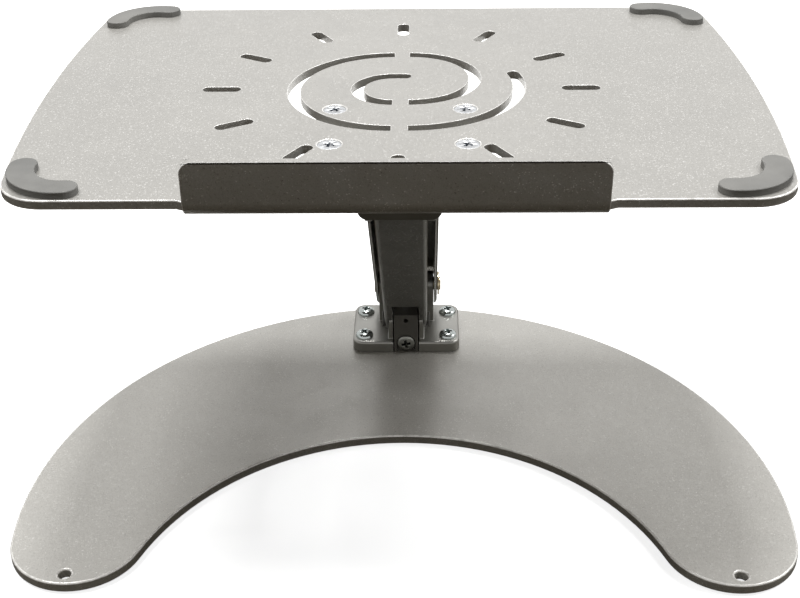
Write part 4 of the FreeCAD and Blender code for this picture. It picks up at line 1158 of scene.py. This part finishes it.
@dataclass
class Studio:
    """The floor, the dark card on it, the lamps, the world and the camera."""

    floor_half: float = 6.0
    floor_colour: Colour = (0.8, 0.8, 0.79)
    floor_bounce: Colour = (0.3, 0.3, 0.3)
    floor_roughness: float = 0.9
    floor_glow: float = 0.86
    flag_span: tuple[float, float] = (-2.6, 0.3)
    flag_half: float = 1.4
    flag_height: float = 0.4 * MM
    flag_colour: Colour = (0.055, 0.047, 0.034)
    sky_low: Colour = (1.0, 0.86, 0.68)
    sky_high: Colour = (1.0, 0.96, 0.9)
    tint_rise: tuple[float, float] = (0.0, 0.8)
    ambient_low: float = 0.035
    ambient_high: float = 0.5
    ambient_rise: tuple[float, float] = (0.12, 0.95)
    lamps: tuple[Lamp, ...] = (Lamp("overhead", (0.0, 1.24, 3.6), (0.0, 0.0, 0.1), 0.6, 70.0),
                               Lamp("left_side", (-1.25, 0.2, 3.6), (-0.1, 0.0, 0.05), 1.0, 66.0),
                               Lamp("right_side", (2.2, 0.4, 2.5), (0.05, 0.0, 0.05), 1.2, 46.0))
    camera_at: Point = (0.01154, -0.55448, 0.41403)
    camera_right: Point = (0.99979, 0.01667, -0.01197)
    camera_up: Point = (0.00172, 0.51304, 0.85831)
    camera_back: Point = (0.02045, -0.85816, 0.51290)
    lens: float = 55.88
    sensor: float = 36.0
    nearest: float = 0.01

    @staticmethod
    def seen_directly(tree: Tree) -> Socket:
        """Adds the socket that is 1 for rays from the camera, a reflection or glass."""
        path = tree.nodes.new("ShaderNodeLightPath")
        either = math_node(tree, "MAXIMUM", path.outputs["Is Camera Ray"], path.outputs["Is Glossy Ray"])
        return math_node(tree, "MAXIMUM", either, path.outputs["Is Transmission Ray"])

    @staticmethod
    def sheet(name: str, low: tuple[float, float], high: tuple[float, float], height: float,
              roughness: float) -> tuple[Piece, Tree, Node]:
        """Lays a flat matt rectangle.

        Args:
            name: Its name.
            low: Its lowest X and Y.
            high: Its highest X and Y.
            height: How high it lies.
            roughness: Its material's roughness.

        Returns:
            The rectangle, its material's tree and its Principled shader.
        """
        (west, south), (east, north) = low, high
        mesh = bpy.data.meshes.new(name)
        mesh.from_pydata([(west, south, height), (east, south, height), (east, north, height),
                          (west, north, height)], [], [(0, 1, 2, 3)])
        material, tree, shader = new_material(name)
        shader.inputs["Roughness"].default_value = roughness
        shader.inputs["Specular IOR Level"].default_value = 0.0
        mesh.materials.append(material)
        return new_piece(name, mesh), tree, shader

    def floor(self) -> None:
        """Lays a plain pale floor that keeps the stand's shadow."""
        half = self.floor_half
        piece, tree, shader = self.sheet("floor", (-half, -half), (half, half), 0.0, self.floor_roughness)
        seen = self.seen_directly(tree)
        link(tree, mixed(tree, seen, self.floor_bounce, self.floor_colour), shader.inputs["Base Color"])
        shader.inputs["Emission Color"].default_value = (1, 1, 1, 1)
        glow = math_node(tree, "MULTIPLY", seen, self.floor_glow)
        link(tree, glow, shader.inputs["Emission Strength"])

    def flag(self) -> None:
        """Lays a dark card under and before the stand, which the lens doesn't see.

        It keeps the floor's glare off the upright faces, as a studio's black flag does.
        """
        (near, far), half = self.flag_span, self.flag_half
        card, _, shader = self.sheet("flag", (-half, near), (half, far), self.flag_height, 1.0)
        shader.inputs["Base Color"].default_value = (*self.flag_colour, 1)
        card.visible_camera = False
        card.visible_shadow = False

    def world(self) -> None:
        """Makes a pale sky that is brighter above than near the floor."""
        world = bpy.data.worlds.new("studio")
        bpy.context.scene.world = world
        world.use_nodes = True
        tree = world.node_tree
        background = tree.nodes["Background"]
        direction = tree.nodes.new("ShaderNodeTexCoord").outputs["Generated"]
        split = tree.nodes.new("ShaderNodeSeparateXYZ")
        link(tree, direction, split.inputs[0])
        seen = self.seen_directly(tree)
        rise = span(tree, split.outputs["Z"], *self.ambient_rise, self.ambient_low, self.ambient_high)
        tint = mixed(tree, span(tree, split.outputs["Z"], *self.tint_rise), self.sky_low, self.sky_high)
        link(tree, mixed(tree, seen, tint, (1.0, 1.0, 1.0)), background.inputs["Color"])
        strength = math_node(tree, "MAXIMUM", rise, seen)
        link(tree, strength, background.inputs["Strength"])

    def camera(self) -> None:
        """Sets the camera in front of the stand, above the tray."""
        data = bpy.data.cameras.new("camera")
        data.lens, data.sensor_width, data.clip_start = self.lens, self.sensor, self.nearest
        camera = bpy.data.objects.new("camera", data)
        bpy.context.scene.collection.objects.link(camera)
        turn = Matrix((self.camera_right, self.camera_up, self.camera_back)).transposed().to_4x4()
        turn.translation = self.camera_at
        camera.matrix_world = turn
        bpy.context.scene.camera = camera

    def build(self) -> None:
        """Builds the whole studio."""
        bpy.context.scene.view_settings.view_transform = "Standard"
        self.floor()
        self.flag()
        self.world()
        for lamp in self.lamps:
            lamp.hang()
        self.camera()


def main() -> None:
    """Builds the stand and the studio."""
    logging.basicConfig(level=logging.INFO, format="%(name)s: %(message)s")
    foundation, adjuster, arm, spring, head = Foundation(), Adjuster(), Arm(), GasSpring(), Head()
    foundation.build()
    foundation.dress()
    adjuster.build()
    arm.build()
    arm.dress()
    spring.dress()
    head.build()
    head.dress()
    Studio().build()


if __name__ == "__main__":
    main()
